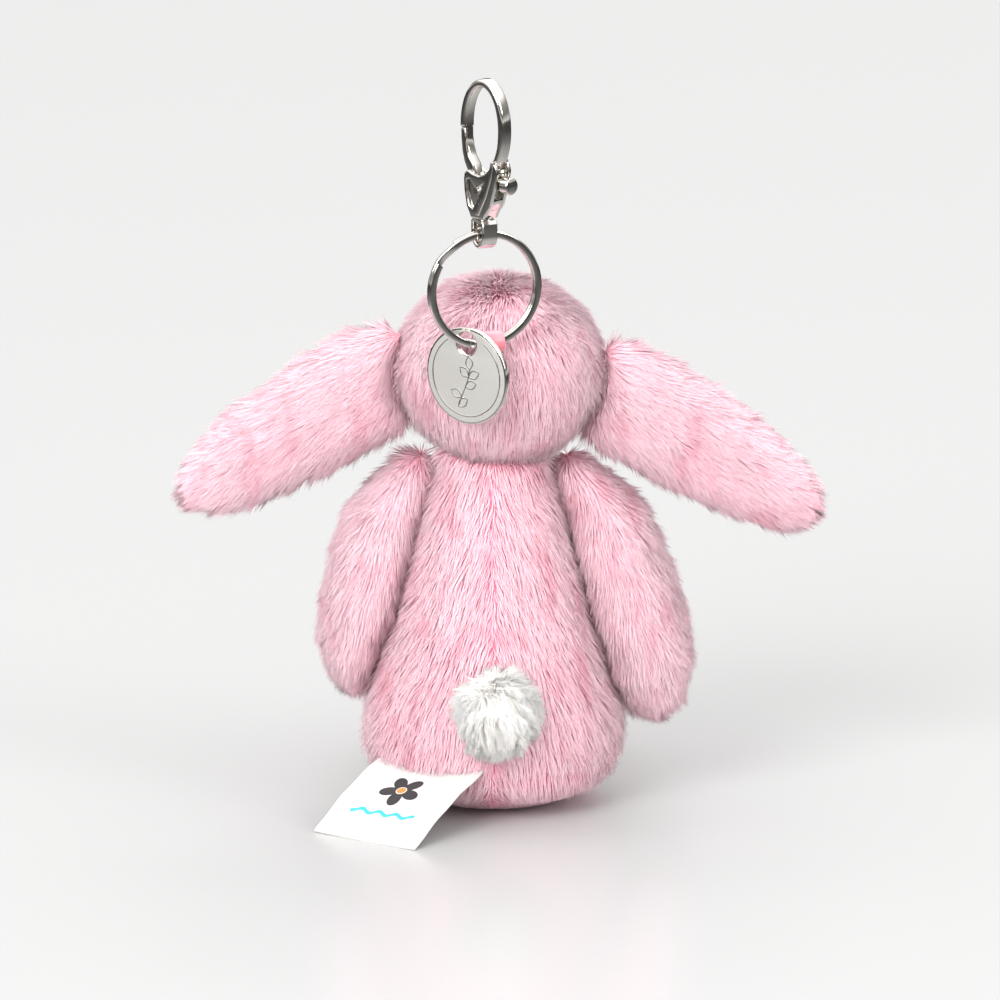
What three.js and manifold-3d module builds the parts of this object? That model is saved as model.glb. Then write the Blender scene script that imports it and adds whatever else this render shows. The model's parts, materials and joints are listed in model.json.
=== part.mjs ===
// Plush rabbit keychain: a sitting soft toy with a trigger snap, a swivel eye, a split ring, a round
// charm and a ribbon loop sewn into the back of its head. Millimetres, +Z up, the rabbit's face looks
// along +Y, and the origin is the middle of the flat underside that it sits on.

import * as THREE from 'three';
import { mergeVertices } from 'three/addons/utils/BufferGeometryUtils.js';
import Module from 'manifold-3d';

const wasm = await Module();
wasm.setup();

// ---------------------------------------------------------------- driving dimensions

const GAP = 0.3; // between pieces that touch
const CLOTH = 1.5; // plush backing with its dense pile root
const FAR = 200; // reach of the blocks that halve a shape

const BODY_DEPTH_SHARE = 0.95; // the pear-shaped body is a little flatter than it is wide
const NECK = { radius: 12.5, z: 90 };
const BASE = { seamRadius: 28.8, seamZ: 13.5, flatRadius: 9 };
const BODY_BULGE = 29.2; // widest radius, low on the body
const POUCH_FILL = 0.75; // how much of the base bowl's height the bean pouch takes

// sunk: how far the neck reaches into the head; x: how far the head sits to one side of the body
const HEAD = { width: 47.2, depth: 47, height: 42.6, sunk: 6.5, x: 1.6 };
const headZ = NECK.z + HEAD.height / 2 - HEAD.sunk; // the head's middle
const MUZZLE = { width: 23, depth: 17, height: 17, sunk: 4.9, below: 6.4 }; // below the head's middle
const SIDE_SEAM_Y = -4; // where the face meets the two back panels, and where the ears are sewn in

// The shoulder is the arm's upper end: inside is how far it lies within the body's widest circle.
const ARM = { width: 25, thickness: 22, tilt: 16, shoulderInside: 8.1, shoulderZ: 84.2, y: 2 };
const ARM_LENGTH = { left: 59, right: 66 };
const ARM_HANG = { left: 10, right: 16 }; // degrees out from the upright
const ARM_CLEARANCE = 0.9; // from the widest side of the body
const ARM_SEAM = 4.5; // how far out the arm's two panels meet, from its flat inner side

const EAR = { length: 66.5, width: 25.5, thickness: 8, droop: 30, sweep: 4, curl: 5, below: 1.3, rootIn: 4 };
const EAR_LIFT = { left: 4, right: 0 }; // the left ear is sewn a little higher
const EAR_CLEARANCE = 1.7; // room to turn at the sewn root
const EAR_OVERLAP = 3; // how far inside the head's widest point the ear is rooted

// beyond: how far a foot's middle lies outside the base seam
const FOOT = { length: 34, width: 20, height: 17.5, x: 14.2, beyond: 6.2, seamZ: 4, round: 3 };

const TAIL = { width: 15.5, depth: 15, height: 18, x: 1, z: 28.5 };

const EYE = { radius: 2.7, shank: 1, x: 9.8, above: 1.7, washerRadius: 3.4, washer: 0.9, washerDepth: 0.7 };
const NOSE = { width: 6, height: 4.2, depth: 2.6, above: 3.2 }; // above the muzzle's middle

const LABEL = { width: 29, length: 29.5, thickness: 0.7, turn: 36, slope: 25.5 };
const CARE_LABEL = { width: 21, length: 21, thickness: 0.5 };

const CHAIN = { x: -2, behindHead: 3.7, yaw: 22 }; // the upright line on which the metal hangs together
const RING = { outer: 14.2, radial: 1.8, axial: 1.05, above: 25.2, step: 46, stepSpan: 26 };
const ringZ = headZ + RING.above;
const DISC = { radius: 11.6, thickness: 1.4, hole: 2.75, edge: 3.8, along: -18, yaw: -58 };
const RIBBON = { width: 5.4, thickness: 0.45, along: 7, inner: 2.15, below: 1.4, footY: 2.3, plyGap: 0.2 };
const EYELET = { width: 4.2, wall: 1, inner: 2.35, yaw: 3 };
const RIVET = { radius: 1, head: 1.5, headHeight: 0.65 };
const HOOK = {
  yaw: -67, // of its flat plane, from the ring's
  depth: 3.4,
  bodyDepth: 5, // the slotted body is wider than the loop
  slot: 3.4,
  limb: 1.9,
  width: 14.3,
  height: 33.3,
  loopHeight: 23.4,
  loopU: 0.5, // the loop stands a little off the swivel's line
  floor: 1.8, // thickness of the foot that the rivet passes through
  mouthTop: 21.7, // underside of the nose that the gate closes on
  rimZ: 10.6, // rim of the slotted body
};
const GATE = { tail: 1.5, pivotU: -0.3, pivotZ: 6.6, pinRadius: 0.75, pinPlay: 0.25, relief: 0.45 };
const SPRING_PLAY = 0.35; // on each side of the spring's coil
const STUD = { radius: 2.1, length: 2.4, u: 6.9, z: 8.8 };

// ---------------------------------------------------------------- helpers

const rad = THREE.MathUtils.degToRad;
const UP_Y = new THREE.Vector3(0, 1, 0);

const plush = new THREE.Color('#e9aebb');
const lining = new THREE.Color('#f0c3cc');

function material(name, color, roughness, metalness = 0) {
  return new THREE.MeshStandardMaterial({ name, color, roughness, metalness });
}

const nickel = (name) => material(name, '#d5d2cc', 0.16, 1);
const fur = (name) => material(name, plush, 0.95);
const filling = (name) => material(name, '#f4f1ea', 1);

const group = new THREE.Group();

function add(name, geometry, finish) {
  const mesh = new THREE.Mesh(geometry, finish(name));
  mesh.name = name;
  group.add(mesh);
  return mesh;
}

// A closed three.js mesh as a solid that can be joined and cut.
function solid(geometry) {
  const bare = geometry.clone();
  bare.deleteAttribute('normal');
  bare.deleteAttribute('uv');
  const merged = mergeVertices(bare, 1e-4);
  const kept = [];
  const index = merged.index.array;
  for (let i = 0; i < index.length; i += 3) {
    const [a, b, c] = [index[i], index[i + 1], index[i + 2]];
    if (a !== b && b !== c && c !== a) kept.push(a, b, c);
  }
  return new wasm.Manifold(
    new wasm.Mesh({
      numProp: 3,
      vertProperties: new Float32Array(merged.attributes.position.array),
      triVerts: new Uint32Array(kept),
    }),
  );
}

function geometryOf(body) {
  const mesh = body.getMesh();
  const geometry = new THREE.BufferGeometry();
  geometry.setAttribute('position', new THREE.BufferAttribute(mesh.vertProperties, mesh.numProp));
  geometry.setIndex(new THREE.BufferAttribute(mesh.triVerts, 1));
  geometry.computeVertexNormals();
  return geometry;
}

// Moves every corner of a geometry with a rule (point in, point out).
function shaped(geometry, rule) {
  const position = geometry.attributes.position;
  const point = new THREE.Vector3();
  for (let i = 0; i < position.count; i++) {
    point.fromBufferAttribute(position, i);
    rule(point);
    position.setXYZ(i, point.x, point.y, point.z);
  }
  return geometry;
}

// A soft rounded form with its poles up and down, the size of its box.
function ovoid(width, depth, height, around, up) {
  const ball = new THREE.SphereGeometry(1, around, up).rotateX(Math.PI / 2);
  return ball.scale(width / 2, depth / 2, height / 2);
}

function block(x0, x1, y0, y1, z0, z1) {
  const box = new THREE.BoxGeometry(x1 - x0, y1 - y0, z1 - z0);
  return solid(box.translate((x0 + x1) / 2, (y0 + y1) / 2, (z0 + z1) / 2));
}

const leftOf = (x) => block(-FAR, x, -FAR, FAR, -FAR, FAR);
const rightOf = (x) => block(x, FAR, -FAR, FAR, -FAR, FAR);
const behind = (y) => block(-FAR, FAR, -FAR, y, -FAR, FAR);
const before = (y) => block(-FAR, FAR, y, FAR, -FAR, FAR);
const above = (z) => block(-FAR, FAR, -FAR, FAR, z, FAR);
const below = (z) => block(-FAR, FAR, -FAR, FAR, -FAR, z);

// A round bar between two points.
function bar(from, to, radius, sides = 16) {
  const span = new THREE.Vector3().subVectors(to, from);
  const rod = new THREE.CylinderGeometry(radius, radius, span.length(), sides);
  const turn = new THREE.Quaternion().setFromUnitVectors(UP_Y, span.clone().normalize());
  return rod.applyQuaternion(turn).translate(...from.clone().addScaledVector(span, 0.5).toArray());
}

// ---------------------------------------------------------------- head

const muzzleY = HEAD.depth / 2 - MUZZLE.sunk;
const muzzleZ = headZ - MUZZLE.below;

// The head with its muzzle, grown or shrunk by an amount all round.
function headForm(grow) {
  const skull = ovoid(HEAD.width + 2 * grow, HEAD.depth + 2 * grow, HEAD.height + 2 * grow, 24, 13);
  const muzzle = ovoid(MUZZLE.width + 2 * grow, MUZZLE.depth + 2 * grow, MUZZLE.height + 2 * grow, 14, 8);
  return solid(skull.translate(HEAD.x, 0, headZ)).add(solid(muzzle.translate(HEAD.x, muzzleY, muzzleZ)));
}

// Where a level line from inside leaves the front of the head, and the way the surface faces there.
function onFace(x, z) {
  const [a, b, c] = [HEAD.width / 2, HEAD.depth / 2, HEAD.height / 2];
  const dz = z - headZ;
  const y = b * Math.sqrt(1 - (x / a) ** 2 - (dz / c) ** 2);
  const normal = new THREE.Vector3(x / a ** 2, y / b ** 2, dz / c ** 2).normalize();
  return { point: new THREE.Vector3(HEAD.x + x, y, z), normal };
}

function eyeParts(side) {
  const { point, normal } = onFace(side * EYE.x, headZ + EYE.above);
  const turn = new THREE.Quaternion().setFromUnitVectors(UP_Y, normal);
  const domePoints = [new THREE.Vector2(0, GAP)];
  for (let i = 0; i <= 4; i++) {
    const a = (i / 4) * (Math.PI / 2);
    domePoints.push(new THREE.Vector2(EYE.radius * Math.cos(a), GAP + 0.85 * EYE.radius * Math.sin(a)));
  }
  const depth = CLOTH + GAP + EYE.washer + EYE.washerDepth + 1;
  const peg = (radius, length) => new THREE.CylinderGeometry(radius, radius, length, 8);
  const bead = solid(new THREE.LatheGeometry(domePoints, 14))
    .add(solid(peg(EYE.shank, depth + 1).translate(0, 0.5 - depth / 2 + GAP, 0)));
  const washerY = -CLOTH - GAP - EYE.washer / 2 - EYE.washerDepth;
  const plate = solid(new THREE.CylinderGeometry(EYE.washerRadius, EYE.washerRadius, EYE.washer, 12));
  const hole = solid(peg(EYE.shank + GAP, 4));
  const seat = (geometry) => geometry.applyQuaternion(turn).translate(...point.toArray());
  const roomRadius = EYE.washerRadius + 2 * GAP;
  const roomDepth = depth + 1.4;
  const room = new THREE.CylinderGeometry(roomRadius, roomRadius, roomDepth, 10);
  return {
    bead: seat(geometryOf(bead)),
    washer: seat(geometryOf(plate.subtract(hole)).translate(0, washerY, 0)),
    room: solid(seat(room.translate(0, -CLOTH - roomDepth / 2 + 0.1, 0))),
    piercing: solid(seat(peg(EYE.shank + GAP, 8))),
  };
}

function buildHead() {
  const shell = headForm(0).subtract(headForm(-CLOTH));
  const back = shell.intersect(behind(SIDE_SEAM_Y - GAP / 2));
  add('head_back_left', geometryOf(back.intersect(leftOf(HEAD.x - GAP / 2))), fur);
  add('head_back_right', geometryOf(back.intersect(rightOf(HEAD.x + GAP / 2))), fur);
  let face = shell.intersect(before(SIDE_SEAM_Y + GAP / 2));
  let stuffing = headForm(-CLOTH - GAP);
  for (const [name, side] of [['left', -1], ['right', 1]]) {
    const eye = eyeParts(side);
    face = face.subtract(eye.piercing);
    stuffing = stuffing.subtract(eye.room);
    add(`eye_${name}`, eye.bead, (n) => material(n, '#17110f', 0.12));
    add(`eye_washer_${name}`, eye.washer, (n) => material(n, '#f2f0ea', 0.5));
  }
  add('head_face', geometryOf(face), fur);
  add('head_stuffing', geometryOf(stuffing), filling);
  const noseY = muzzleY + MUZZLE.depth / 2 - 0.6; // the pad is let in a little
  const padForm = ovoid(NOSE.width, NOSE.depth, NOSE.height, 12, 8);
  const pad = solid(padForm.translate(HEAD.x, noseY, muzzleZ + NOSE.above));
  add('nose', geometryOf(pad.subtract(headForm(GAP))), (n) => material(n, '#cf7f8f', 0.6));
}

// ---------------------------------------------------------------- body and base

// The pear's outline from the base seam up to the neck, drawn in by an amount.
function pearOutline(inset) {
  const waist = new THREE.SplineCurve([
    new THREE.Vector2(BASE.seamRadius, BASE.seamZ),
    new THREE.Vector2(BODY_BULGE, BASE.seamZ + 6),
    new THREE.Vector2(BODY_BULGE - 1.5, BASE.seamZ + 15),
    new THREE.Vector2((BODY_BULGE + NECK.radius) / 2 + 2.4, BASE.seamZ + 30),
    new THREE.Vector2(NECK.radius + 5, NECK.z - 25),
    new THREE.Vector2(NECK.radius, NECK.z - 9),
    new THREE.Vector2(NECK.radius - 0.5, NECK.z),
  ]);
  return waist.getPoints(11).map((p) => new THREE.Vector2(p.x - inset, p.y));
}

function pear(inset, bottom, top) {
  const { clamp } = THREE.MathUtils;
  const outline = pearOutline(inset).map((p) => new THREE.Vector2(p.x, clamp(p.y, bottom, top)));
  const first = new THREE.Vector2(0, outline[0].y);
  const last = new THREE.Vector2(0, outline.at(-1).y);
  const turned = new THREE.LatheGeometry([first, ...outline, last], 24).rotateX(Math.PI / 2);
  return solid(turned.scale(1, BODY_DEPTH_SHARE, 1));
}

// The rounded bowl that closes the body below, with a small flat on which the toy sits.
function bowl(inset, top) {
  const points = [new THREE.Vector2(0, inset)];
  const steps = 5;
  for (let i = 0; i <= steps; i++) {
    const a = (i / steps) * (Math.PI / 2);
    const r = BASE.flatRadius + (BASE.seamRadius - BASE.flatRadius) * Math.sin(a);
    points.push(new THREE.Vector2(r - inset, inset + (BASE.seamZ - inset) * (1 - Math.cos(a))));
  }
  const rim = BASE.seamZ + 4;
  points.push(new THREE.Vector2(BASE.seamRadius - inset, rim), new THREE.Vector2(0, rim));
  const turned = new THREE.LatheGeometry(points, 24).rotateX(Math.PI / 2).scale(1, BODY_DEPTH_SHARE, 1);
  return solid(turned).intersect(below(top));
}

function buildBody() {
  const seam = BASE.seamZ;
  const headRoom = headForm(GAP);
  const shell = pear(0, seam, NECK.z).subtract(pear(CLOTH, seam - 1, NECK.z + 1))
    .intersect(above(seam + GAP / 2)).subtract(headRoom);
  const back = shell.intersect(behind(-GAP / 2));
  add('body_back_left', geometryOf(back.intersect(leftOf(-GAP / 2))), fur);
  add('body_back_right', geometryOf(back.intersect(rightOf(GAP / 2))), fur);
  add('belly', geometryOf(shell.intersect(before(GAP / 2))), fur);
  const core = pear(CLOTH + GAP, seam, NECK.z - 1).intersect(above(seam + GAP)).subtract(headRoom);
  add('body_stuffing', geometryOf(core), filling);
  const base = bowl(0, seam - GAP / 2).subtract(bowl(CLOTH, seam + 2));
  add('base_panel', geometryOf(base), fur);
  const pouch = bowl(CLOTH + GAP, CLOTH + GAP + POUCH_FILL * (seam - CLOTH - GAP));
  add('bean_pouch', geometryOf(pouch), (n) => material(n, '#e8e2d6', 0.9));
}

// ---------------------------------------------------------------- arms

// A hanging arm in the right arm's own place: a stuffed teardrop, narrow at the shoulder. Its inner side
// is flat and leans with the body's side, clear of it at every angle of swing.
function armForm(grow, name) {
  const height = ARM_LENGTH[name] + 2 * grow;
  const hang = rad(ARM_HANG[name]);
  const form = ovoid(ARM.thickness + 2 * grow, ARM.width + 2 * grow, height, 14, 10);
  shaped(form, (p) => {
    const fall = -p.z / (height / 2);
    const fullness = 1 + 0.22 * fall;
    p.x *= fullness;
    p.y *= fullness;
  });
  const half = ARM_LENGTH[name] / 2;
  const x = BODY_BULGE - ARM.shoulderInside + half * Math.sin(hang);
  return solid(form.rotateY(-hang).translate(x, ARM.y, ARM.shoulderZ - half * Math.cos(hang)));
}

// A leaning half space beside the body: everything further out than its widest side at each height.
function besideBody(extra) {
  const outline = pearOutline(0);
  const slope = Math.tan(rad(ARM.tilt));
  const reach = Math.max(...outline.map((p) => p.x - slope * (ARM.shoulderZ - p.y)));
  const face = reach + ARM_CLEARANCE + extra;
  const halfSpace = new THREE.BoxGeometry(FAR, FAR, FAR).translate(FAR / 2, 0, 0);
  halfSpace.rotateY(-rad(ARM.tilt)).translate(face, 0, ARM.shoulderZ);
  return solid(halfSpace);
}

function mirrored(body, side) {
  return side > 0 ? body : body.mirror([1, 0, 0]);
}

function buildArms() {
  for (const [name, side] of [['left', -1], ['right', 1]]) {
    const outer = armForm(0, name).intersect(besideBody(0));
    const hollow = armForm(-CLOTH, name).intersect(besideBody(CLOTH));
    const core = armForm(-CLOTH - GAP, name).intersect(besideBody(CLOTH + GAP));
    const shell = outer.subtract(hollow);
    const outerPanel = shell.intersect(besideBody(ARM_SEAM + GAP / 2));
    const innerPanel = shell.subtract(besideBody(ARM_SEAM - GAP / 2));
    add(`arm_outer_${name}`, geometryOf(mirrored(outerPanel, side)), fur);
    add(`arm_inner_${name}`, geometryOf(mirrored(innerPanel, side)), fur);
    add(`arm_stuffing_${name}`, geometryOf(mirrored(core, side)), filling);
  }
}

// ---------------------------------------------------------------- ears

// A flat drooping ear in the right ear's place: a leaf of two layers that leaves the head's side seam,
// hangs outwards and down, and curls a little backwards at its tip.
function earForm() {
  const leaf = new THREE.SphereGeometry(1, 12, 12).rotateZ(-Math.PI / 2);
  shaped(leaf, (p) => {
    const along = p.x;
    const full = (1 + 0.35 * along * along) * (1 - 0.22 * along); // narrower towards the tip
    const share = (along + 1) / 2;
    p.x = along * (EAR.length / 2);
    p.z *= (EAR.width / 2) * full;
    p.y *= (EAR.thickness / 2) * Math.min(full, 1.15);
    p.z -= 2.5 * share * share;
    p.y -= EAR.curl * share * share;
  });
  return solid(inEarPlace(leaf));
}

// Hangs a shape whose length runs along x from the right side of the head.
function inEarPlace(shape) {
  shape.translate(EAR.length / 2 - EAR.rootIn, 0, 0).rotateY(rad(EAR.droop)).rotateZ(rad(EAR.sweep));
  return shape.translate(HEAD.width / 2 - EAR_OVERLAP, SIDE_SEAM_Y, headZ - EAR.below);
}

// The middle surface between an ear's two layers, as a thick block behind or before it.
function earHalf(side) {
  const slab = new THREE.BoxGeometry(EAR.length * 2, 40, EAR.width * 3, 8, 1, 1);
  slab.translate(0, side * (20 + GAP / 2), 0);
  shaped(slab, (p) => {
    const share = THREE.MathUtils.clamp((p.x + EAR.length / 2) / EAR.length, 0, 1.1);
    p.y -= EAR.curl * share * share;
  });
  return solid(inEarPlace(slab));
}

function buildEars() {
  const headRoom = headForm(EAR_CLEARANCE);
  for (const [name, side] of [['left', -1], ['right', 1]]) {
    const placed = (body) => mirrored(body, side).translate([HEAD.x, 0, EAR_LIFT[name]]);
    const ear = placed(earForm()).subtract(headRoom);
    add(`ear_back_${name}`, geometryOf(ear.intersect(placed(earHalf(-1)))), fur);
    const front = ear.intersect(placed(earHalf(1)));
    add(`ear_lining_${name}`, geometryOf(front), (n) => material(n, lining, 0.9));
  }
}

// ---------------------------------------------------------------- feet and tail

// The pear with the bowl under it, grown by an amount.
function lowerBody(grow) {
  return pear(-grow, BASE.seamZ - 1, NECK.z).add(bowl(-grow, BASE.seamZ));
}

// A stubby foot in the right foot's place, grown by an amount, flat under the sole.
function footForm(grow) {
  const height = FOOT.height + FOOT.round + 2 * grow;
  const form = ovoid(FOOT.width + 2 * grow, FOOT.length + 2 * grow, height, 14, 8);
  form.translate(FOOT.x, BASE.seamRadius + FOOT.beyond, FOOT.height / 2);
  return solid(form).intersect(above(-grow));
}

function buildFeet() {
  const shell = footForm(0).subtract(footForm(-CLOTH)).subtract(lowerBody(2 * GAP));
  const core = footForm(-CLOTH - GAP).subtract(lowerBody(CLOTH + 3 * GAP));
  const upper = shell.intersect(above(FOOT.seamZ + GAP / 2));
  const sole = shell.intersect(below(FOOT.seamZ - GAP / 2));
  for (const [name, side] of [['left', -1], ['right', 1]]) {
    add(`foot_upper_${name}`, geometryOf(mirrored(upper, side)), fur);
    add(`foot_sole_${name}`, geometryOf(mirrored(sole, side)), fur);
    add(`foot_stuffing_${name}`, geometryOf(mirrored(core, side)), filling);
  }
}

function buildTail() {
  const y = -BODY_DEPTH_SHARE * BODY_BULGE - 2.2;
  const puff = solid(ovoid(TAIL.width, TAIL.depth, TAIL.height, 14, 9).translate(TAIL.x, y, TAIL.z));
  const room = pear(-GAP, BASE.seamZ - 1, NECK.z);
  add('tail', geometryOf(puff.subtract(room)), (n) => material(n, '#f6f1e6', 0.95));
}

// ---------------------------------------------------------------- labels

// A flat leaf of tape that leaves the base seam and slopes down to the table.
function leaf(size, lift) {
  const plate = new THREE.BoxGeometry(size.width, size.length + 10, size.thickness);
  plate.translate(0, -(size.length + 10) / 2, lift);
  plate.rotateX(rad(LABEL.slope)).rotateZ(-rad(LABEL.turn));
  const chord = Math.sqrt(BASE.seamRadius ** 2 - (LABEL.width / 2) ** 2) - 10 * Math.cos(rad(LABEL.slope));
  const out = new THREE.Vector3(-Math.sin(rad(LABEL.turn)), -Math.cos(rad(LABEL.turn)), 0);
  const start = out.multiplyScalar(chord).setZ(BASE.seamZ - 0.6 + 10 * Math.sin(rad(LABEL.slope)));
  return solid(plate.translate(start.x, start.y, start.z));
}

function buildLabels() {
  const room = lowerBody(2 * GAP);
  const clearOfTable = above(0.05);
  const white = (n) => material(n, '#f7f6f3', 0.55);
  add('sewn_label', geometryOf(leaf(LABEL, 0).subtract(room).intersect(clearOfTable)), white);
  const under = leaf(CARE_LABEL, -LABEL.thickness / 2 - CARE_LABEL.thickness / 2 - GAP);
  add('care_label', geometryOf(under.subtract(room).intersect(clearOfTable)), white);
}

// ---------------------------------------------------------------- metal: placed on the chain's line

// Puts a shape from the chain's own upright frame (x along the ring, y away) into the model.
function onChain(geometry) {
  return geometry.rotateZ(rad(CHAIN.yaw)).translate(CHAIN.x, -HEAD.depth / 2 - CHAIN.behindHead, 0);
}

const ringMiddle = RING.outer - RING.radial / 2;

// Where the ring's wire is at an angle from its lowest point, in the chain's frame.
function onRing(degrees) {
  const a = rad(degrees);
  return new THREE.Vector3(ringMiddle * Math.sin(a), 0, ringZ - ringMiddle * Math.cos(a));
}

// Two flat turns of one wire, side by side, with the short slanting stretch where it changes sides.
function buildRing() {
  const steps = 60;
  const wire = new THREE.BoxGeometry(RING.radial, RING.axial, 1, 1, 1, steps);
  const level = RING.axial / 2 + 0.08;
  const start = RING.step + RING.stepSpan / 2;
  const travel = 720 - RING.stepSpan;
  shaped(wire, (p) => {
    const turned = (p.z + 0.5) * travel;
    const angle = rad(start + turned);
    const change = (turned - (360 - RING.stepSpan)) / RING.stepSpan;
    const shift = THREE.MathUtils.smoothstep(change, 0, 1);
    const r = ringMiddle + p.x;
    p.set(-r * Math.sin(angle), p.y + level * (2 * shift - 1), ringZ + r * Math.cos(angle));
  });
  add('split_ring', onChain(geometryOf(solid(wire))), nickel);
}

function buildDisc() {
  const outline = new THREE.Shape().absarc(0, 0, DISC.radius, 0, 2 * Math.PI);
  const hole = new THREE.Path().absarc(0, DISC.radius - DISC.edge, DISC.hole, 0, 2 * Math.PI, true);
  outline.holes.push(hole);
  const plate = new THREE.ExtrudeGeometry(outline, {
    depth: DISC.thickness,
    bevelEnabled: false,
    curveSegments: 18,
  });
  plate.translate(0, 0, -DISC.thickness / 2).rotateX(Math.PI / 2);
  const at = onRing(DISC.along);
  plate.translate(0, 0, -(DISC.radius - DISC.edge)).rotateZ(rad(DISC.yaw)).translate(at.x, at.y, at.z);
  add('disc_charm', onChain(plate), nickel);
}

// The outline of a band of even thickness along a row of points.
function band(points, thickness) {
  const sides = [[], []];
  points.forEach((p, i) => {
    const before = points[Math.max(i - 1, 0)];
    const after = points[Math.min(i + 1, points.length - 1)];
    const along = new THREE.Vector2().subVectors(after, before).normalize();
    const across = new THREE.Vector2(-along.y, along.x);
    sides[0].push(p.clone().addScaledVector(across, thickness / 2));
    sides[1].unshift(p.clone().addScaledVector(across, -thickness / 2));
  });
  return new THREE.Shape([...sides[0], ...sides[1]]);
}

// A flat satin band folded round the ring's lowest stretch, its two ends together at the head seam.
function buildRibbon() {
  const wire = onRing(RIBBON.along);
  const radius = RIBBON.inner + RIBBON.thickness / 2;
  const top = wire.z + 0.25;
  const footZ = headZ - RIBBON.below;
  const bendZ = top - 7;
  const plies = RIBBON.thickness / 2 + RIBBON.plyGap;
  const lean = 0.6; // the two plies lean to the wire's side above the bend
  const at = (y, z) => new THREE.Vector2(y, z);
  const points = [at(RIBBON.footY - plies, footZ), at(RIBBON.footY - plies - lean, bendZ)];
  const arc = 12;
  for (let i = 0; i <= arc; i++) {
    const a = rad(205 - (230 * i) / arc);
    points.push(at(radius * Math.cos(a), top + radius * Math.sin(a)));
  }
  points.push(at(RIBBON.footY + plies - lean, bendZ), at(RIBBON.footY + plies, footZ));
  const flat = { depth: RIBBON.width, bevelEnabled: false };
  const loop = new THREE.ExtrudeGeometry(band(points, RIBBON.thickness), flat);
  loop.rotateX(Math.PI / 2).rotateZ(Math.PI / 2).translate(wire.x - RIBBON.width / 2, 0, 0);
  const body = solid(onChain(loop)).subtract(headForm(2 * GAP));
  add('ribbon_loop', geometryOf(body), (n) => material(n, '#e88f9b', 0.45));
}

// ---------------------------------------------------------------- swivel eye

const wireTopZ = ringZ + ringMiddle;
const eyeletTop = wireTopZ + EYELET.inner + 0.4; // underside of the strap's top
const hookBaseZ = eyeletTop + EYELET.wall + GAP;

// A strap of metal bent round the ring's wire, with a riveted top.
function buildEyelet() {
  const strap = (radius, top) => {
    const outline = new THREE.Shape();
    outline.moveTo(-radius, top);
    outline.lineTo(-radius, wireTopZ);
    outline.absarc(0, wireTopZ, radius, Math.PI, 2 * Math.PI);
    outline.lineTo(radius, top);
    return outline;
  };
  const along = (shape, width) => solid(
    new THREE.ExtrudeGeometry(shape, { depth: width, bevelEnabled: false, curveSegments: 14 })
      .translate(0, 0, -width / 2).rotateX(Math.PI / 2).rotateZ(Math.PI / 2),
  );
  const outer = along(strap(EYELET.inner + EYELET.wall, eyeletTop + EYELET.wall), EYELET.width);
  const window = along(strap(EYELET.inner, eyeletTop), EYELET.width * 2);
  const upright = (from, to) => [new THREE.Vector3(0, 0, from), new THREE.Vector3(0, 0, to)];
  const bore = solid(bar(...upright(wireTopZ, hookBaseZ + 1), RIVET.radius + GAP));
  const eyelet = outer.subtract(window).subtract(bore);
  add('swivel_eye', onChain(geometryOf(eyelet).rotateZ(rad(EYELET.yaw))), nickel);

  const floorZ = hookBaseZ + HOOK.floor;
  const lowerHead = eyeletTop - GAP - RIVET.headHeight;
  const points = [
    [0, lowerHead], [RIVET.head, lowerHead], [RIVET.head, eyeletTop - GAP], [RIVET.radius, eyeletTop - GAP],
    [RIVET.radius, floorZ + GAP], [RIVET.head - 0.1, floorZ + GAP], [RIVET.head - 0.3, floorZ + GAP + 0.6],
    [0, floorZ + GAP + 0.6],
  ].map(([x, y]) => new THREE.Vector2(x, y));
  const rivet = new THREE.LatheGeometry(points, 16).rotateX(Math.PI / 2);
  add('swivel_rivet', onChain(geometryOf(solid(rivet))), nickel);
}

// ---------------------------------------------------------------- trigger snap

// Turns a flat outline (u across the loop, z up from the foot) into a plate of a given depth.
function plate(shape, depth, offset = 0) {
  const flat = new THREE.ExtrudeGeometry(shape, { depth, bevelEnabled: false, curveSegments: 22 });
  return solid(flat.translate(0, 0, -depth / 2 - offset).rotateX(Math.PI / 2));
}

function ellipse(halfWidth, halfHeight) {
  const z = HOOK.height - HOOK.loopHeight / 2;
  return new THREE.Shape().absellipse(HOOK.loopU, z, halfWidth, halfHeight, 0, 2 * Math.PI);
}

function polygon(corners) {
  return new THREE.Shape(corners.map(([u, z]) => new THREE.Vector2(u, z)));
}

// Puts a shape from the snap's own frame into the model.
function onHook(geometry) {
  return onChain(geometry.rotateZ(rad(HOOK.yaw)).translate(0, 0, hookBaseZ));
}

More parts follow.
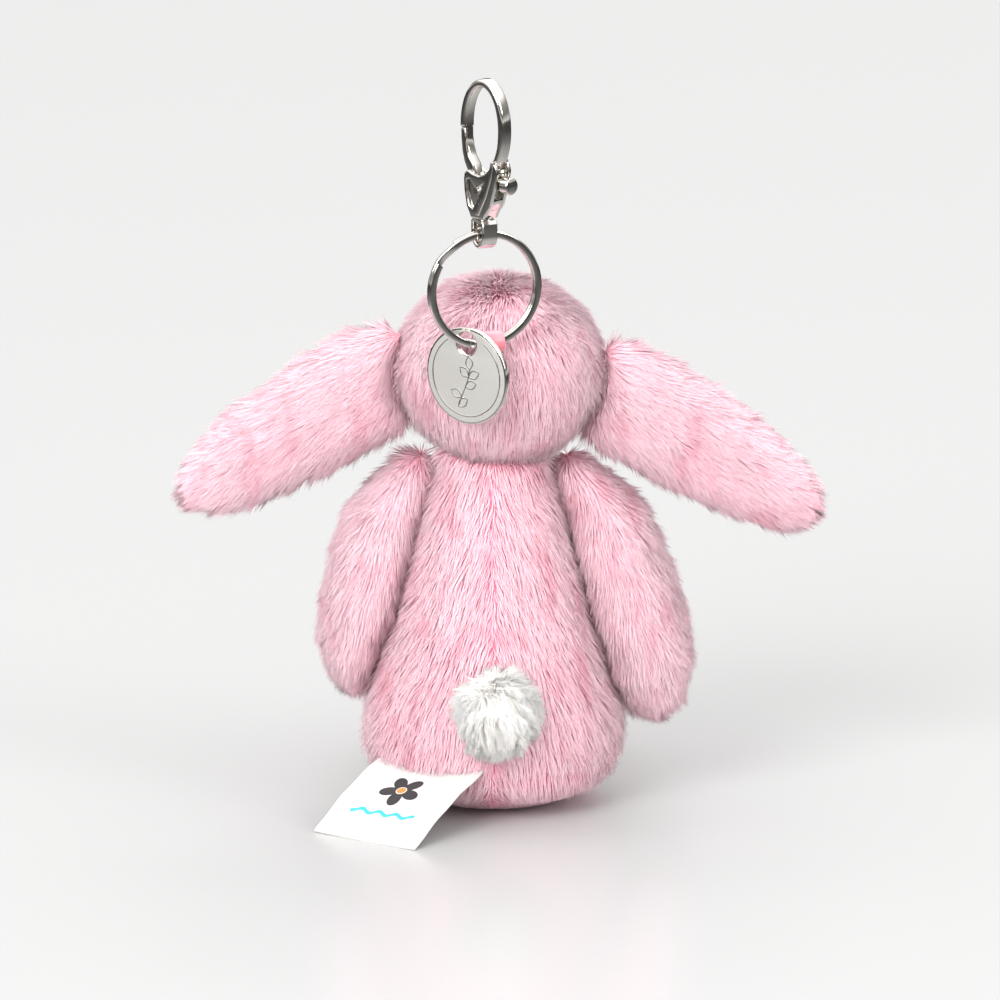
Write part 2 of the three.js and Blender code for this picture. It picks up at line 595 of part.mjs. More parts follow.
function buildHook() {
  const halfWidth = HOOK.width / 2;
  const rightEdge = HOOK.loopU + halfWidth;
  const loop = plate(ellipse(halfWidth, HOOK.loopHeight / 2), HOOK.depth);
  const window = plate(ellipse(halfWidth - HOOK.limb, HOOK.loopHeight / 2 - HOOK.limb), 3 * HOOK.depth);
  const wedge = plate(polygon([
    [-2.3, 0], [2.3, 0], [4.4, 3.4], [rightEdge - 2, 7.6], [rightEdge - 0.9, 12.4], [rightEdge - 2.6, 14.2],
    [2.2, HOOK.rimZ + 0.6], [-1.2, HOOK.rimZ], [-4.9, HOOK.rimZ - 0.2], [-4.6, 6.4], [-3.5, 2.4],
  ]), HOOK.bodyDepth);
  const mouth = plate(polygon([
    [-9, HOOK.mouthTop], [-9, HOOK.rimZ], [-1.2, HOOK.rimZ], [-1.6, HOOK.mouthTop - 4], [-2, HOOK.mouthTop],
  ]), 3 * HOOK.depth);
  const slot = plate(polygon([
    [-2.4, HOOK.floor], [2.6, HOOK.floor], [9, 2.4], [9, 11.6],
    [3, 13.4], [-0.6, 13.4], [-4, 13.4], [-3.9, 6.6],
  ]), HOOK.slot);
  const pivot = (y) => new THREE.Vector3(GATE.pivotU, y, GATE.pivotZ);
  const across = (radius, length) => solid(bar(pivot(-length / 2), pivot(length / 2), radius));
  const pinBore = across(GATE.pinRadius + GATE.pinPlay, 3 * HOOK.depth);
  const footFrom = new THREE.Vector3(0, 0, -1);
  const footTo = new THREE.Vector3(0, 0, HOOK.floor + 1);
  const foot = solid(bar(footFrom, footTo, RIVET.radius + GAP));
  const body = loop.subtract(window).add(wedge.subtract(window)).subtract(mouth).subtract(slot)
    .subtract(foot).subtract(pinBore);
  add('hook_body', onHook(geometryOf(body)), nickel);
  add('gate_pin', onHook(geometryOf(across(GATE.pinRadius, HOOK.bodyDepth + 0.4))), nickel);

  const inMouth = HOOK.mouthTop - GAP;
  // The bar's outer corner is lower, so that it clears the nose as the gate swings in.
  const gateBar = plate(polygon([
    [-6.6, inMouth - GATE.relief], [-6.3, 17], [-5.2, 13], [-3.6, 10.9], [-1.6, 9.4],
    [-1.3, 11.2], [-2.8, 14], [-4.1, 17], [-4.7, inMouth],
  ]), HOOK.slot - 0.5);
  const tailEnd = STUD.u + 0.3;
  const offset = -(HOOK.slot / 2 - GATE.tail / 2 - GAP);
  const tail = plate(polygon([
    [-3.4, 11.4], [-3.2, 8.6], [-1.7, 5.4], [0.2, 5], [2.4, 6.6], [tailEnd, STUD.z - 1.1],
    [tailEnd, STUD.z + 1.1], [2.6, 9.3], [0.2, 8.9], [-1.4, 10.6],
  ]), GATE.tail, offset);
  const lever = gateBar.add(tail).subtract(pinBore);
  add('gate_lever', onHook(geometryOf(lever)), nickel);
  const studFrom = new THREE.Vector3(tailEnd + GAP, 0, STUD.z);
  const studTo = studFrom.clone().setX(tailEnd + GAP + STUD.length);
  add('thumb_stud', onHook(geometryOf(solid(bar(studFrom, studTo, STUD.radius, 24)))), nickel);

  const coilFrom = -HOOK.slot / 2 + GAP + GATE.tail + SPRING_PLAY; // beside the lever's tail
  const coilTo = HOOK.slot / 2 - SPRING_PLAY;
  const coil = (radius) => solid(bar(pivot(coilFrom), pivot(coilTo), radius, 18));
  const leg = plate(polygon([
    [GATE.pivotU - 0.2, GATE.pivotZ - 1.65], [2.2, GATE.pivotZ - 3.3], [2.4, GATE.pivotZ - 2.9],
    [GATE.pivotU + 0.2, GATE.pivotZ - 1.2],
  ]), 0.5, (coilFrom + coilTo) / 2);
  const spring = coil(1.75).add(leg).subtract(coil(GATE.pinRadius + GATE.pinPlay));
  add('gate_spring', onHook(geometryOf(spring)), (n) => material(n, '#b9bcc0', 0.35, 1));
}

buildHead();
buildBody();
buildArms();
buildEars();
buildFeet();
buildTail();
buildLabels();
buildRing();
buildDisc();
buildRibbon();
buildEyelet();
buildHook();

export default group;
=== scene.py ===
import json
import math

import bmesh
import bpy
import numpy as np
from mathutils import Matrix, Vector
from mathutils.bvhtree import BVHTree

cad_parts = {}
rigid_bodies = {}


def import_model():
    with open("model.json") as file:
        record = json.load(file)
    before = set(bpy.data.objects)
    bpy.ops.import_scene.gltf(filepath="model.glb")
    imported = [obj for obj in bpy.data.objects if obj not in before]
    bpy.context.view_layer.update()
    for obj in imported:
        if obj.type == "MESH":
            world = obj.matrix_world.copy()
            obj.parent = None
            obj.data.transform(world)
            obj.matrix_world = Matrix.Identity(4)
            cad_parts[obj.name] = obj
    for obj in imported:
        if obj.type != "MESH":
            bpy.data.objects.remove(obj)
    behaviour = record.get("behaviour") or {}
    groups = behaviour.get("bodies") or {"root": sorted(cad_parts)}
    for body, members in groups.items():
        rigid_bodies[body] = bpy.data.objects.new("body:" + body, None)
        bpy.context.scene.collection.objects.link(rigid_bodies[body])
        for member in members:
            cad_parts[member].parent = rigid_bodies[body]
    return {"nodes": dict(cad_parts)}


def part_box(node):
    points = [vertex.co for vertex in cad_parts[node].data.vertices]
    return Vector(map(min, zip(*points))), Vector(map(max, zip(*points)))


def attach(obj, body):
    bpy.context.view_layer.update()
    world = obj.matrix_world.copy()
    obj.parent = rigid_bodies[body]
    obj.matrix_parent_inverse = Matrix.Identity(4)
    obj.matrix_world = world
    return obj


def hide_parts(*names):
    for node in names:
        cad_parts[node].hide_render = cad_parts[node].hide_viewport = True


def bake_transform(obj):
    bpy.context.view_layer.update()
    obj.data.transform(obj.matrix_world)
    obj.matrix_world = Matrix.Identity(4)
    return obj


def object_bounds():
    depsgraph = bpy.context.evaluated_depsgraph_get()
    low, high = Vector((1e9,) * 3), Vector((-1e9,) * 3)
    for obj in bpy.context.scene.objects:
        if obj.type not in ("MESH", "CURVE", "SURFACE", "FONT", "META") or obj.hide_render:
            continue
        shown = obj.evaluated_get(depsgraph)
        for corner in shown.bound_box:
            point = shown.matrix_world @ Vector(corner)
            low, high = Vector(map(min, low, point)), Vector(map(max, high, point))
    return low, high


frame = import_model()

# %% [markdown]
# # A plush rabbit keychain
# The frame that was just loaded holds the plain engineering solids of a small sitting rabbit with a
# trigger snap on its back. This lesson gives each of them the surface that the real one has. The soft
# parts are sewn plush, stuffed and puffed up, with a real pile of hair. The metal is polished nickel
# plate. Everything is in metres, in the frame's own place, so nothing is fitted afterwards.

MM = 0.001
UP = Vector((0, 0, 1))
cad_box = [list(corner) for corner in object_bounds()]
bpy.context.scene.view_settings.view_transform = "Standard"
print("frame box in mm:", [[round(c / MM, 1) for c in corner] for corner in cad_box])

# %% [markdown]
# ## The camera first
# The toy is seen from behind with a long lens, a little from above. A long lens keeps the ears and the
# feet in proportion. The camera only needs a place, a direction and a lens, so it is set out here as
# three numbers that a photographer would write down.

# %% Camera
VIEW_RISE = math.radians(14)  # how far above the level the camera looks from
VIEW_DISTANCE = 6.0
VIEW_WIDTH = 0.2359  # what the picture spans at the toy
SENSOR = 36.0

aim = Vector((1.65 * MM, 0, 72.3 * MM))
camera_data = bpy.data.cameras.new("camera")
camera_data.sensor_width = SENSOR
camera_data.lens = SENSOR * VIEW_DISTANCE / VIEW_WIDTH
camera_data.clip_end = 20
camera = bpy.data.objects.new("camera", camera_data)
bpy.context.scene.collection.objects.link(camera)
camera.location = aim + VIEW_DISTANCE * Vector((0, -math.cos(VIEW_RISE), math.sin(VIEW_RISE)))
camera.rotation_euler = (math.pi / 2 - VIEW_RISE, 0, 0)
bpy.context.scene.camera = camera
print("lens", round(camera_data.lens), "mm")

# %% [markdown]
# ## Two small tools for colours and nodes
# A colour is written the way a picker shows it, as sRGB hex, and turned to the linear numbers that
# shaders need. Nodes are added by one function that sets what the node is and what goes into it.


# %% Colour and node tools
def linear(code):
    """An sRGB hex colour as the linear numbers that a shader takes."""
    channels = [int(code[i : i + 2], 16) / 255 for i in (1, 3, 5)]
    return [c / 12.92 if c <= 0.04045 else ((c + 0.055) / 1.055) ** 2.4 for c in channels] + [1.0]


def add(tree, kind, settings=None, inputs=None):
    """Adds a node. settings are its own options, inputs a value or another node's output for each socket."""
    node = tree.nodes.new(kind)
    for name, value in (settings or {}).items():
        setattr(node, name, value)
    for name, value in (inputs or {}).items():
        socket = node.inputs[name]
        if isinstance(value, bpy.types.NodeSocket):
            tree.links.new(value, socket)
        else:
            socket.default_value = value
    return node


def new_material(name, **shader_values):
    """A material with one Principled shader, and its tree, ready for more nodes."""
    material = bpy.data.materials.new(name)
    material.use_nodes = True
    tree = material.node_tree
    tree.nodes.clear()
    shader = add(tree, "ShaderNodeBsdfPrincipled")
    for label, value in shader_values.items():
        shader.inputs[label.replace("_", " ")].default_value = value
    output = add(tree, "ShaderNodeOutputMaterial")
    tree.links.new(shader.outputs[0], output.inputs["Surface"])
    return material, tree, shader


def ramp(tree, factor, stops):
    """A colour ramp over a factor; stops are (place, hex colour)."""
    node = add(tree, "ShaderNodeValToRGB", inputs={"Fac": factor})
    elements = node.color_ramp.elements
    while len(elements) < len(stops):
        elements.new(0.5)
    for element, (place, code) in zip(elements, stops):
        element.position = place
        element.color = linear(code)
    return node.outputs["Color"]


# %% [markdown]
# ## The pile: polyester fake fur
# Plush is a knitted backing with fibres standing in it. Each fibre is far too thin to see, so the eye
# reads locks of many fibres. Their colour has painted light and shade in it: paler at the tips, where the
# light gets in, and a deeper painted shade at the roots, which show wherever the pile parts. The material
# reads two attributes that the strands carry, how far along the strand a point is and a chance tone for
# each lock, and a slow change of tone over the toy. Long narrow streaks of a deeper rose are painted
# shade in the small partings where the roots show.


# %% Fur material
def fur_material(name, root, middle, tip, drift, parting_shade):
    """Dyed pile fibre: soft, rough, a little sheen; painted shade makes it deeper at the root, painted light
    paler at the tip.
    """
    material, tree, shader = new_material(
        name, Roughness=0.8, Sheen_Weight=0.2, Sheen_Roughness=0.6, Specular_IOR_Level=0.1
    )
    along = add(tree, "ShaderNodeAttribute", {"attribute_name": "along"}).outputs["Fac"]
    shade = add(tree, "ShaderNodeAttribute", {"attribute_name": "shade"}).outputs["Fac"]
    # painted light and shade: paler towards the tip, where the light gets in, deeper towards the shaded root
    root_shade_tip_light_colour = ramp(tree, along, [(0.0, root), (0.4, middle), (0.95, tip)])
    deep_colour = ramp(tree, along, [(0.0, root), (0.7, middle), (1.0, drift)])
    place = add(tree, "ShaderNodeTexCoord").outputs["Object"]
    patches = add(tree, "ShaderNodeTexNoise", inputs={"Vector": place, "Scale": 75.0, "Detail": 2.0})
    both = add(tree, "ShaderNodeMath", {"operation": "MULTIPLY_ADD"}, {0: shade, 1: 0.55, 2: -0.28})
    amount = add(tree, "ShaderNodeMath", {"operation": "ADD", "use_clamp": True})
    tree.links.new(both.outputs[0], amount.inputs[0])
    tree.links.new(patches.outputs[0], amount.inputs[1])
    mix = add(tree, "ShaderNodeMix", {"data_type": "RGBA"}, {"Factor": amount.outputs[0]})
    tree.links.new(root_shade_tip_light_colour, mix.inputs[6])
    tree.links.new(deep_colour, mix.inputs[7])
    # painted shade: noise streaks of the parting colour, strongest near the root, for the shaded partings
    # between locks
    stretched = add(tree, "ShaderNodeMapping", inputs={"Vector": place, "Scale": (1.0, 1.0, 0.45)})
    streaks = add(tree, "ShaderNodeTexNoise", inputs={
        "Vector": stretched.outputs[0], "Scale": 170.0, "Detail": 3.0,
    })
    opened = add(tree, "ShaderNodeMapRange", inputs={
        "Value": streaks.outputs[0], "From Min": 0.5, "From Max": 0.7, "To Min": 0.0, "To Max": 0.75,
    })
    depth = add(tree, "ShaderNodeMath", {"operation": "MULTIPLY_ADD"}, {0: along, 1: -0.65, 2: 1.0})
    shows = add(tree, "ShaderNodeMath", {"operation": "MULTIPLY"}, {
        0: opened.outputs[0], 1: depth.outputs[0],
    })
    shaded_partings = add(tree, "ShaderNodeMix", {"data_type": "RGBA"}, {"Factor": shows.outputs[0]})
    tree.links.new(mix.outputs[2], shaded_partings.inputs[6])
    shaded_partings.inputs[7].default_value = linear(parting_shade)
    tree.links.new(shaded_partings.outputs[2], shader.inputs["Base Color"])
    return material


# colours run root, middle, tip, drift, parting: the pale tip is painted light, the deep root and the parting
# colour painted shade
pink_pile = fur_material("rose_polyester_pile", "#f7abbc", "#fed1dc", "#ffe5ec", "#fdbecc", "#ea8aa1")
cream_pile = fur_material("cream_polyester_pile", "#fbf7f0", "#fffdf9", "#ffffff", "#fffcf6", "#f4ede0")


# %% [markdown]
# ## The backing cloth
# Under the pile is a warp-knitted backing in the same dye. It only shows as a deeper tone where the
# hair parts, so it needs the knit's small stitches as bump and little else.


# %% Knitted backing
def knit_material(name, colour, deeper):
    """Warp-knitted polyester: rows of tiny stitches 0.7 mm apart, matte and evenly dyed."""
    material, tree, shader = new_material(name, Roughness=0.95, Sheen_Weight=0.3, Specular_IOR_Level=0.1)
    place = add(tree, "ShaderNodeTexCoord").outputs["Object"]
    rows = add(tree, "ShaderNodeTexVoronoi", inputs={"Vector": place, "Scale": 1400.0})
    colours = ramp(tree, rows.outputs["Distance"], [(0.1, colour), (0.8, deeper)])
    bump = add(tree, "ShaderNodeBump", inputs={"Strength": 0.4, "Distance": 0.0002})
    tree.links.new(rows.outputs["Distance"], bump.inputs["Height"])
    tree.links.new(bump.outputs[0], shader.inputs["Normal"])
    tree.links.new(colours, shader.inputs["Base Color"])
    return material


pink_knit = knit_material("rose_knitted_backing", "#ec97ab", "#dc7a93")
cream_knit = knit_material("cream_knitted_backing", "#f6eee0", "#e6dcc8")

# %% [markdown]
# ## Shaping a stuffed part
# A stuffed part starts from the frame's own solids. They are copied and merged, remeshed into one even
# skin, and puffed up as cloth with air inside. The seams are held still while the cloth swells, so they
# end up as the shallow grooves that a sewn seam makes. The cloth solver is at its best on things the
# size of a cushion, so the small part is simulated ten times larger and brought back.


# %% Remesh the frame's solids into one skin
def link(name, mesh, *materials):
    """Puts a mesh in the scene as an object of its own, with its materials."""
    piece = bpy.data.objects.new(name, mesh)
    bpy.context.scene.collection.objects.link(piece)
    mesh.materials.clear()
    for material in materials:
        mesh.materials.append(material)
    return piece


def applied(piece):
    """The piece with its modifiers turned into plain mesh."""
    bpy.context.view_layer.update()
    evaluated = piece.evaluated_get(bpy.context.evaluated_depsgraph_get())
    mesh = bpy.data.meshes.new_from_object(evaluated)
    piece.modifiers.clear()
    old, piece.data = piece.data, mesh
    bpy.data.meshes.remove(old)
    return piece


def coordinates(mesh):
    """The places of a mesh's vertices, one row each."""
    places = np.empty(len(mesh.vertices) * 3)
    mesh.vertices.foreach_get("co", places)
    return places.reshape(-1, 3)


def set_coordinates(mesh, places):
    """Moves a mesh's vertices to new places."""
    mesh.vertices.foreach_set("co", places.ravel())
    mesh.update()


def merged_copy(name, node_names):
    """One mesh from copies of frame nodes, with their loose triangles merged."""
    shape = bmesh.new()
    for node_name in node_names:
        shape.from_mesh(frame["nodes"][node_name].data)
    bmesh.ops.remove_doubles(shape, verts=shape.verts, dist=1e-6)
    mesh = bpy.data.meshes.new(name)
    shape.to_mesh(mesh)
    shape.free()
    return mesh


def skin_of(name, node_names, voxel, smoothing, material):
    """One even, rounded skin over several frame nodes. voxel is the size of its faces."""
    piece = link(name, merged_copy(name, node_names), material)
    remesh = piece.modifiers.new("remesh", "REMESH")
    remesh.mode = "VOXEL"
    remesh.voxel_size = voxel
    smooth = piece.modifiers.new("smooth", "SMOOTH")
    smooth.factor = 0.5
    smooth.iterations = smoothing
    applied(piece)
    keep_largest(piece.data)
    return piece


def keep_largest(mesh):
    """Drops the small closed shells that a remesh can leave inside a thick wall."""
    shape = bmesh.new()
    shape.from_mesh(mesh)
    left = set(shape.verts)
    islands = []
    while left:
        island, front = set(), [left.pop()]
        while front:
            vertex = front.pop()
            island.add(vertex)
            for edge in vertex.link_edges:
                other = edge.other_vert(vertex)
                if other in left:
                    left.discard(other)
                    front.append(other)
        islands.append(island)
    islands.sort(key=len)
    for island in islands[:-1]:
        bmesh.ops.delete(shape, geom=list(island), context="VERTS")
    shape.to_mesh(mesh)
    shape.free()


# %% Puff a skin up as cloth
SIMULATION_SCALE = 10
SIMULATION_FRAMES = 20


def puff(piece, seam_distance, cap, pressure=4.0):
    """Swells a skin under inner pressure, with its seams held. cap is how far any point may move."""
    rest = coordinates(piece.data)
    trial = link(piece.name + "_trial", piece.data.copy())
    set_coordinates(trial.data, rest * SIMULATION_SCALE)
    seams = trial.vertex_groups.new(name="seams")
    held = np.flatnonzero(seam_distance(rest) < 0.9 * MM)
    seams.add([int(i) for i in held], 1.0, "REPLACE")
    cloth = trial.modifiers.new("cloth", "CLOTH")
    cloth.settings.use_pressure = True
    cloth.settings.uniform_pressure_force = pressure
    cloth.settings.vertex_group_mass = "seams"
    cloth.settings.effector_weights.gravity = 0
    cloth.settings.tension_stiffness = 25
    cloth.settings.compression_stiffness = 25
    cloth.point_cache.frame_end = SIMULATION_FRAMES
    for step in range(1, SIMULATION_FRAMES + 1):
        bpy.context.scene.frame_set(step)
    solved = trial.evaluated_get(bpy.context.evaluated_depsgraph_get())
    moved = coordinates(solved.data) / SIMULATION_SCALE - rest
    bpy.context.scene.frame_set(1)
    length = np.linalg.norm(moved, axis=1, keepdims=True)
    moved *= np.minimum(1, cap / np.maximum(length, 1e-9))
    set_coordinates(piece.data, rest + moved)
    mesh = trial.data
    bpy.data.objects.remove(trial)
    bpy.data.meshes.remove(mesh)
    print(f"{piece.name}: swelled {np.mean(length) / MM:.2f} mm on average, {len(held)} seam points held")
    return piece


def finished_skin(piece):
    """One subdivision after the simulation, with smooth faces."""
    divide = piece.modifiers.new("subdivide", "SUBSURF")
    divide.levels = divide.render_levels = 1
    applied(piece)
    piece.data.shade_smooth()
    return piece


# %% [markdown]
# ## Growing the pile with Geometry Nodes
# Hair is the clearest case for Geometry Nodes: one strand, repeated tens of thousands of times over a
# surface. The strand is a three-sided cone that turns one flat side outwards. Points are scattered on
# the skin, and each strand leans along a combing direction that the skin stores on its vertices. Locks
# form because strands near one another lean towards the middle of the same small cell. A real fibre is
# 0.03 mm thick, which no picture shows, so each strand stands for a lock of them.


# %% The pile tree
def build_pile_tree():
    """Geometry Nodes that turn a combed skin into its pile of strands."""
    tree = bpy.data.node_groups.new("pile", "GeometryNodeTree")
    sockets = tree.interface
    sockets.new_socket("Geometry", in_out="INPUT", socket_type="NodeSocketGeometry")
    for name in ("Density", "Length", "Width", "Lift", "Lock Size", "Lock Pull", "Wave", "Wave Scale"):
        sockets.new_socket(name, in_out="INPUT", socket_type="NodeSocketFloat")
    sockets.new_socket("Seed", in_out="INPUT", socket_type="NodeSocketInt")
    sockets.new_socket("Material", in_out="INPUT", socket_type="NodeSocketMaterial")
    sockets.new_socket("Geometry", in_out="OUTPUT", socket_type="NodeSocketGeometry")
    given = add(tree, "NodeGroupInput").outputs

    def maths(operation, first, second=0.0, third=0.0):
        values = {0: first, 1: second, 2: third}
        return add(tree, "ShaderNodeMath", {"operation": operation}, values).outputs[0]

    def vectors(operation, first, second=(0, 0, 0), scale=None):
        values = {0: first, 1: second} if scale is None else {0: first, "Scale": scale}
        return add(tree, "ShaderNodeVectorMath", {"operation": operation}, values).outputs[0]

    cone = add(tree, "GeometryNodeMeshCone", {"fill_type": "NGON"}, {
        "Vertices": 3, "Side Segments": 1, "Radius Bottom": maths("MULTIPLY", given["Width"], 0.5),
        "Radius Top": 0.0, "Depth": given["Length"],
    })
    height = add(tree, "ShaderNodeSeparateXYZ", inputs={0: add(tree, "GeometryNodeInputPosition").outputs[0]})
    along = maths("DIVIDE", height.outputs["Z"], given["Length"])
    marked = add(tree, "GeometryNodeStoreNamedAttribute", {"data_type": "FLOAT", "domain": "POINT"}, {
        "Geometry": cone.outputs["Mesh"], "Name": "along", "Value": along,
    })

    points = add(tree, "GeometryNodeDistributePointsOnFaces", inputs={
        "Mesh": given["Geometry"], "Density": given["Density"], "Seed": given["Seed"],
    })
    here = add(tree, "GeometryNodeInputPosition").outputs[0]
    comb = add(tree, "GeometryNodeInputNamedAttribute", {"data_type": "FLOAT_VECTOR"}, {"Name": "comb"})
    pile = add(tree, "GeometryNodeInputNamedAttribute", {"data_type": "FLOAT"}, {"Name": "pile"})
    cells = add(tree, "ShaderNodeTexVoronoi", {"voronoi_dimensions": "3D"}, {
        "Vector": here, "Scale": maths("DIVIDE", 1.0, given["Lock Size"]),
    })
    to_lock = vectors("SCALE", vectors("SUBTRACT", cells.outputs["Position"], here),
                      scale=maths("DIVIDE", given["Lock Pull"], given["Lock Size"]))
    swirl = add(tree, "ShaderNodeTexNoise", inputs={
        "Vector": here, "Scale": given["Wave Scale"], "Detail": 1.0,
    })
    about_zero = vectors("SUBTRACT", swirl.outputs["Color"], (0.5, 0.5, 0.5))
    wave = vectors("SCALE", about_zero, scale=given["Wave"])
    chance = add(tree, "FunctionNodeRandomValue", {"data_type": "FLOAT_VECTOR"}, {
        "Min": (-0.16, -0.16, -0.16), "Max": (0.16, 0.16, 0.16), "Seed": 1,
    }).outputs["Value"]
    lean = vectors("ADD", vectors("ADD", comb.outputs["Attribute"], to_lock), vectors("ADD", wave, chance))
    normal = points.outputs["Normal"]
    rooted = add(tree, "GeometryNodeStoreNamedAttribute", {"data_type": "FLOAT_VECTOR", "domain": "POINT"}, {
        "Geometry": points.outputs["Points"], "Name": "root_normal", "Value": normal,
    })
    lifted = vectors("ADD", lean, vectors("SCALE", normal, scale=given["Lift"]))
    upright = add(tree, "FunctionNodeAlignRotationToVector", {"axis": "Z"}, {"Vector": lifted})
    inwards = vectors("SCALE", normal, scale=-1.0)
    facing = add(tree, "FunctionNodeAlignRotationToVector", {"axis": "X", "pivot_axis": "Z"}, {
        "Rotation": upright.outputs[0], "Vector": inwards,
    })
    thick = add(tree, "FunctionNodeRandomValue", {"data_type": "FLOAT"}, {
        2: 0.7, 3: 1.25, "Seed": 2,
    }).outputs[1]
    long = add(tree, "FunctionNodeRandomValue", {"data_type": "FLOAT"}, {
        2: 0.68, 3: 1.12, "Seed": 3,
    }).outputs[1]
    size = add(tree, "ShaderNodeCombineXYZ", inputs={
        "X": thick, "Y": thick, "Z": maths("MULTIPLY", long, pile.outputs["Attribute"]),
    })
    grown = add(tree, "GeometryNodeInstanceOnPoints", inputs={
        "Points": rooted.outputs[0], "Instance": marked.outputs[0],
        "Rotation": facing.outputs[0], "Scale": size.outputs[0],
    })
    tint = add(tree, "FunctionNodeRandomValue", {"data_type": "FLOAT"}, {
        2: 0.0, 3: 1.0, "Seed": 4,
    }).outputs[1]
    lock = add(tree, "ShaderNodeSeparateXYZ", inputs={0: cells.outputs["Color"]}).outputs["X"]
    shade = maths("ADD", maths("MULTIPLY", tint, 0.5), maths("MULTIPLY", lock, 0.5))
    shaded = add(tree, "GeometryNodeStoreNamedAttribute", {"data_type": "FLOAT", "domain": "INSTANCE"}, {
        "Geometry": grown.outputs[0], "Name": "shade", "Value": shade,
    })
    real = add(tree, "GeometryNodeRealizeInstances", inputs={"Geometry": shaded.outputs[0]})
    coloured = add(tree, "GeometryNodeSetMaterial", inputs={
        "Geometry": real.outputs[0], "Material": given["Material"],
    })
    output = add(tree, "NodeGroupOutput")
    tree.links.new(coloured.outputs[0], output.inputs["Geometry"])
    return tree


pile_tree = build_pile_tree()
print("pile tree:", len(pile_tree.nodes), "nodes")


# %% Comb a skin and grow its pile
STRAND_CORNERS = 4  # three at the root and one at the tip
LEAST_SLIDE = 0.35  # the pile stands up where the combing slides along the skin less than this
CLIPPED_SHARE = 0.45  # how much of its length is left where it stands quite upright


def comb_skin(piece, direction, pile):
    """Stores on each vertex which way the pile lies, in the surface, and its share of the full length.
    Where the combing meets the surface head on, the pile stands up and is clipped short."""
    mesh = piece.data
    places = coordinates(mesh)
    normals = np.empty(len(mesh.vertices) * 3)
    mesh.vertices.foreach_get("normal", normals)
    normals = normals.reshape(-1, 3)
    wanted = direction(places)
    flat = wanted - normals * np.sum(wanted * normals, axis=1, keepdims=True)
    slide = np.linalg.norm(flat, axis=1, keepdims=True)
    flat /= np.maximum(slide, LEAST_SLIDE)
    clipped = CLIPPED_SHARE + (1 - CLIPPED_SHARE) * np.clip(slide[:, 0] / LEAST_SLIDE, 0, 1)
    comb = mesh.attributes.new("comb", "FLOAT_VECTOR", "POINT")
    comb.data.foreach_set("vector", flat.ravel())
    share = mesh.attributes.new("pile", "FLOAT", "POINT")
    share.data.foreach_set("value", (pile(places) * clipped).astype(np.float32))
    return piece


def soften(hair):
    """Turns each lying strand's shading towards the skin's, as fine fibres scatter light like the soft
    surface they form. A strand that stands up keeps its own shading."""
    roots = np.empty(len(hair.vertices) * 3, dtype=np.float32)
    hair.attributes["root_normal"].data.foreach_get("vector", roots)
    own = np.empty(len(hair.vertices) * 3, dtype=np.float32)
    hair.vertices.foreach_get("normal", own)
    along = np.empty(len(hair.vertices), dtype=np.float32)
    hair.attributes["along"].data.foreach_get("value", along)
    corners = coordinates(hair).reshape(-1, STRAND_CORNERS, 3)
    tips = (along.reshape(-1, STRAND_CORNERS) > 0.5)[:, :, None]
    rise = (corners * tips).sum(axis=1) - (corners * ~tips).sum(axis=1) / (STRAND_CORNERS - 1)
    rise /= np.linalg.norm(rise, axis=1, keepdims=True)
    roots = roots.reshape(-1, STRAND_CORNERS, 3)
    standing = np.sum(roots * rise[:, None, :], axis=2, keepdims=True)
    mixed = (roots * (1 - np.clip(standing, 0, 1) ** 2) + 0.3 * own.reshape(roots.shape)).reshape(-1, 3)
    mixed /= np.linalg.norm(mixed, axis=1, keepdims=True)
    hair.attributes.remove(hair.attributes["root_normal"])
    hair.normals_split_custom_set_from_vertices(mixed)


def grow_pile(name, skin, material, seed, strands, **sizes):
    """The pile on a skin as one plain mesh of about so many strands."""
    mesh = skin.data
    area = sum(face.area for face in mesh.polygons)
    values = {
        "Density": strands / area, "Seed": seed, "Material": material,
        "Length": 5.8 * MM, "Width": 0.33 * MM, "Lift": 0.42,
        "Lock Size": 2.8 * MM, "Lock Pull": 0.2, "Wave": 0.85, "Wave Scale": 130.0,
    }
    values.update(sizes)
    host = link(name + "_host", mesh.copy(), material)
    modifier = host.modifiers.new("pile", "NODES")
    modifier.node_group = pile_tree
    for item in pile_tree.interface.items_tree:
        if item.in_out == "INPUT" and item.name in values:
            modifier[item.identifier] = values[item.name]
    bpy.context.view_layer.update()
    evaluated = host.evaluated_get(bpy.context.evaluated_depsgraph_get())
    hair = bpy.data.meshes.new_from_object(evaluated)
    old = host.data
    host.modifiers.clear()
    bpy.data.objects.remove(host)
    bpy.data.meshes.remove(old)
    hair.name = name
    hair.shade_smooth()
    soften(hair)
    triangles = sum(len(face.vertices) - 2 for face in hair.polygons)
    print(f"{name}: {triangles} triangles over {area / MM / MM:.0f} square mm")
    return link(name, hair, material)


# %% [markdown]
# ## Where each seam runs
# The frame gives the places: a seam down the back of the head, one over the ears, one down the back,
# two down the body's sides and one round the base. A seam is described by how far a point is from it.

# %% Seam rules
head_low, head_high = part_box("head_stuffing")
base_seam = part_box("base_panel")[1].z
side_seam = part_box("head_back_left")[1].y  # where the face panel starts
tail_low, tail_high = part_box("tail")
head_middle = Vector(((head_low.x + head_high.x) / 2, side_seam, (head_low.z + head_high.z) / 2))


def head_seams(p):
    """Distance to the back seam and to the seam that the ears are sewn into."""
    behind = np.where(p[:, 1] < side_seam, np.abs(p[:, 0] - head_middle.x), 1)
    return np.minimum(behind, np.abs(p[:, 1] - side_seam))


def body_seams(p):
    """Distance to the back, side and base seams."""
    back = np.where((p[:, 1] < 0) & (p[:, 2] > base_seam), np.abs(p[:, 0]), 1)
    sides = np.where(p[:, 2] > base_seam, np.abs(p[:, 1]), 1)
    return np.minimum(np.minimum(back, sides), np.abs(p[:, 2] - base_seam))


print("base seam at", round(base_seam / MM, 1), "mm; side seam at", round(side_seam / MM, 1), "mm")

# %% [markdown]
# ## Head
# The head is a firm ball with a short muzzle. The pile is brushed from the crown down and outwards, and
# it is clipped short round the eyes and the nose so that the face stays readable.

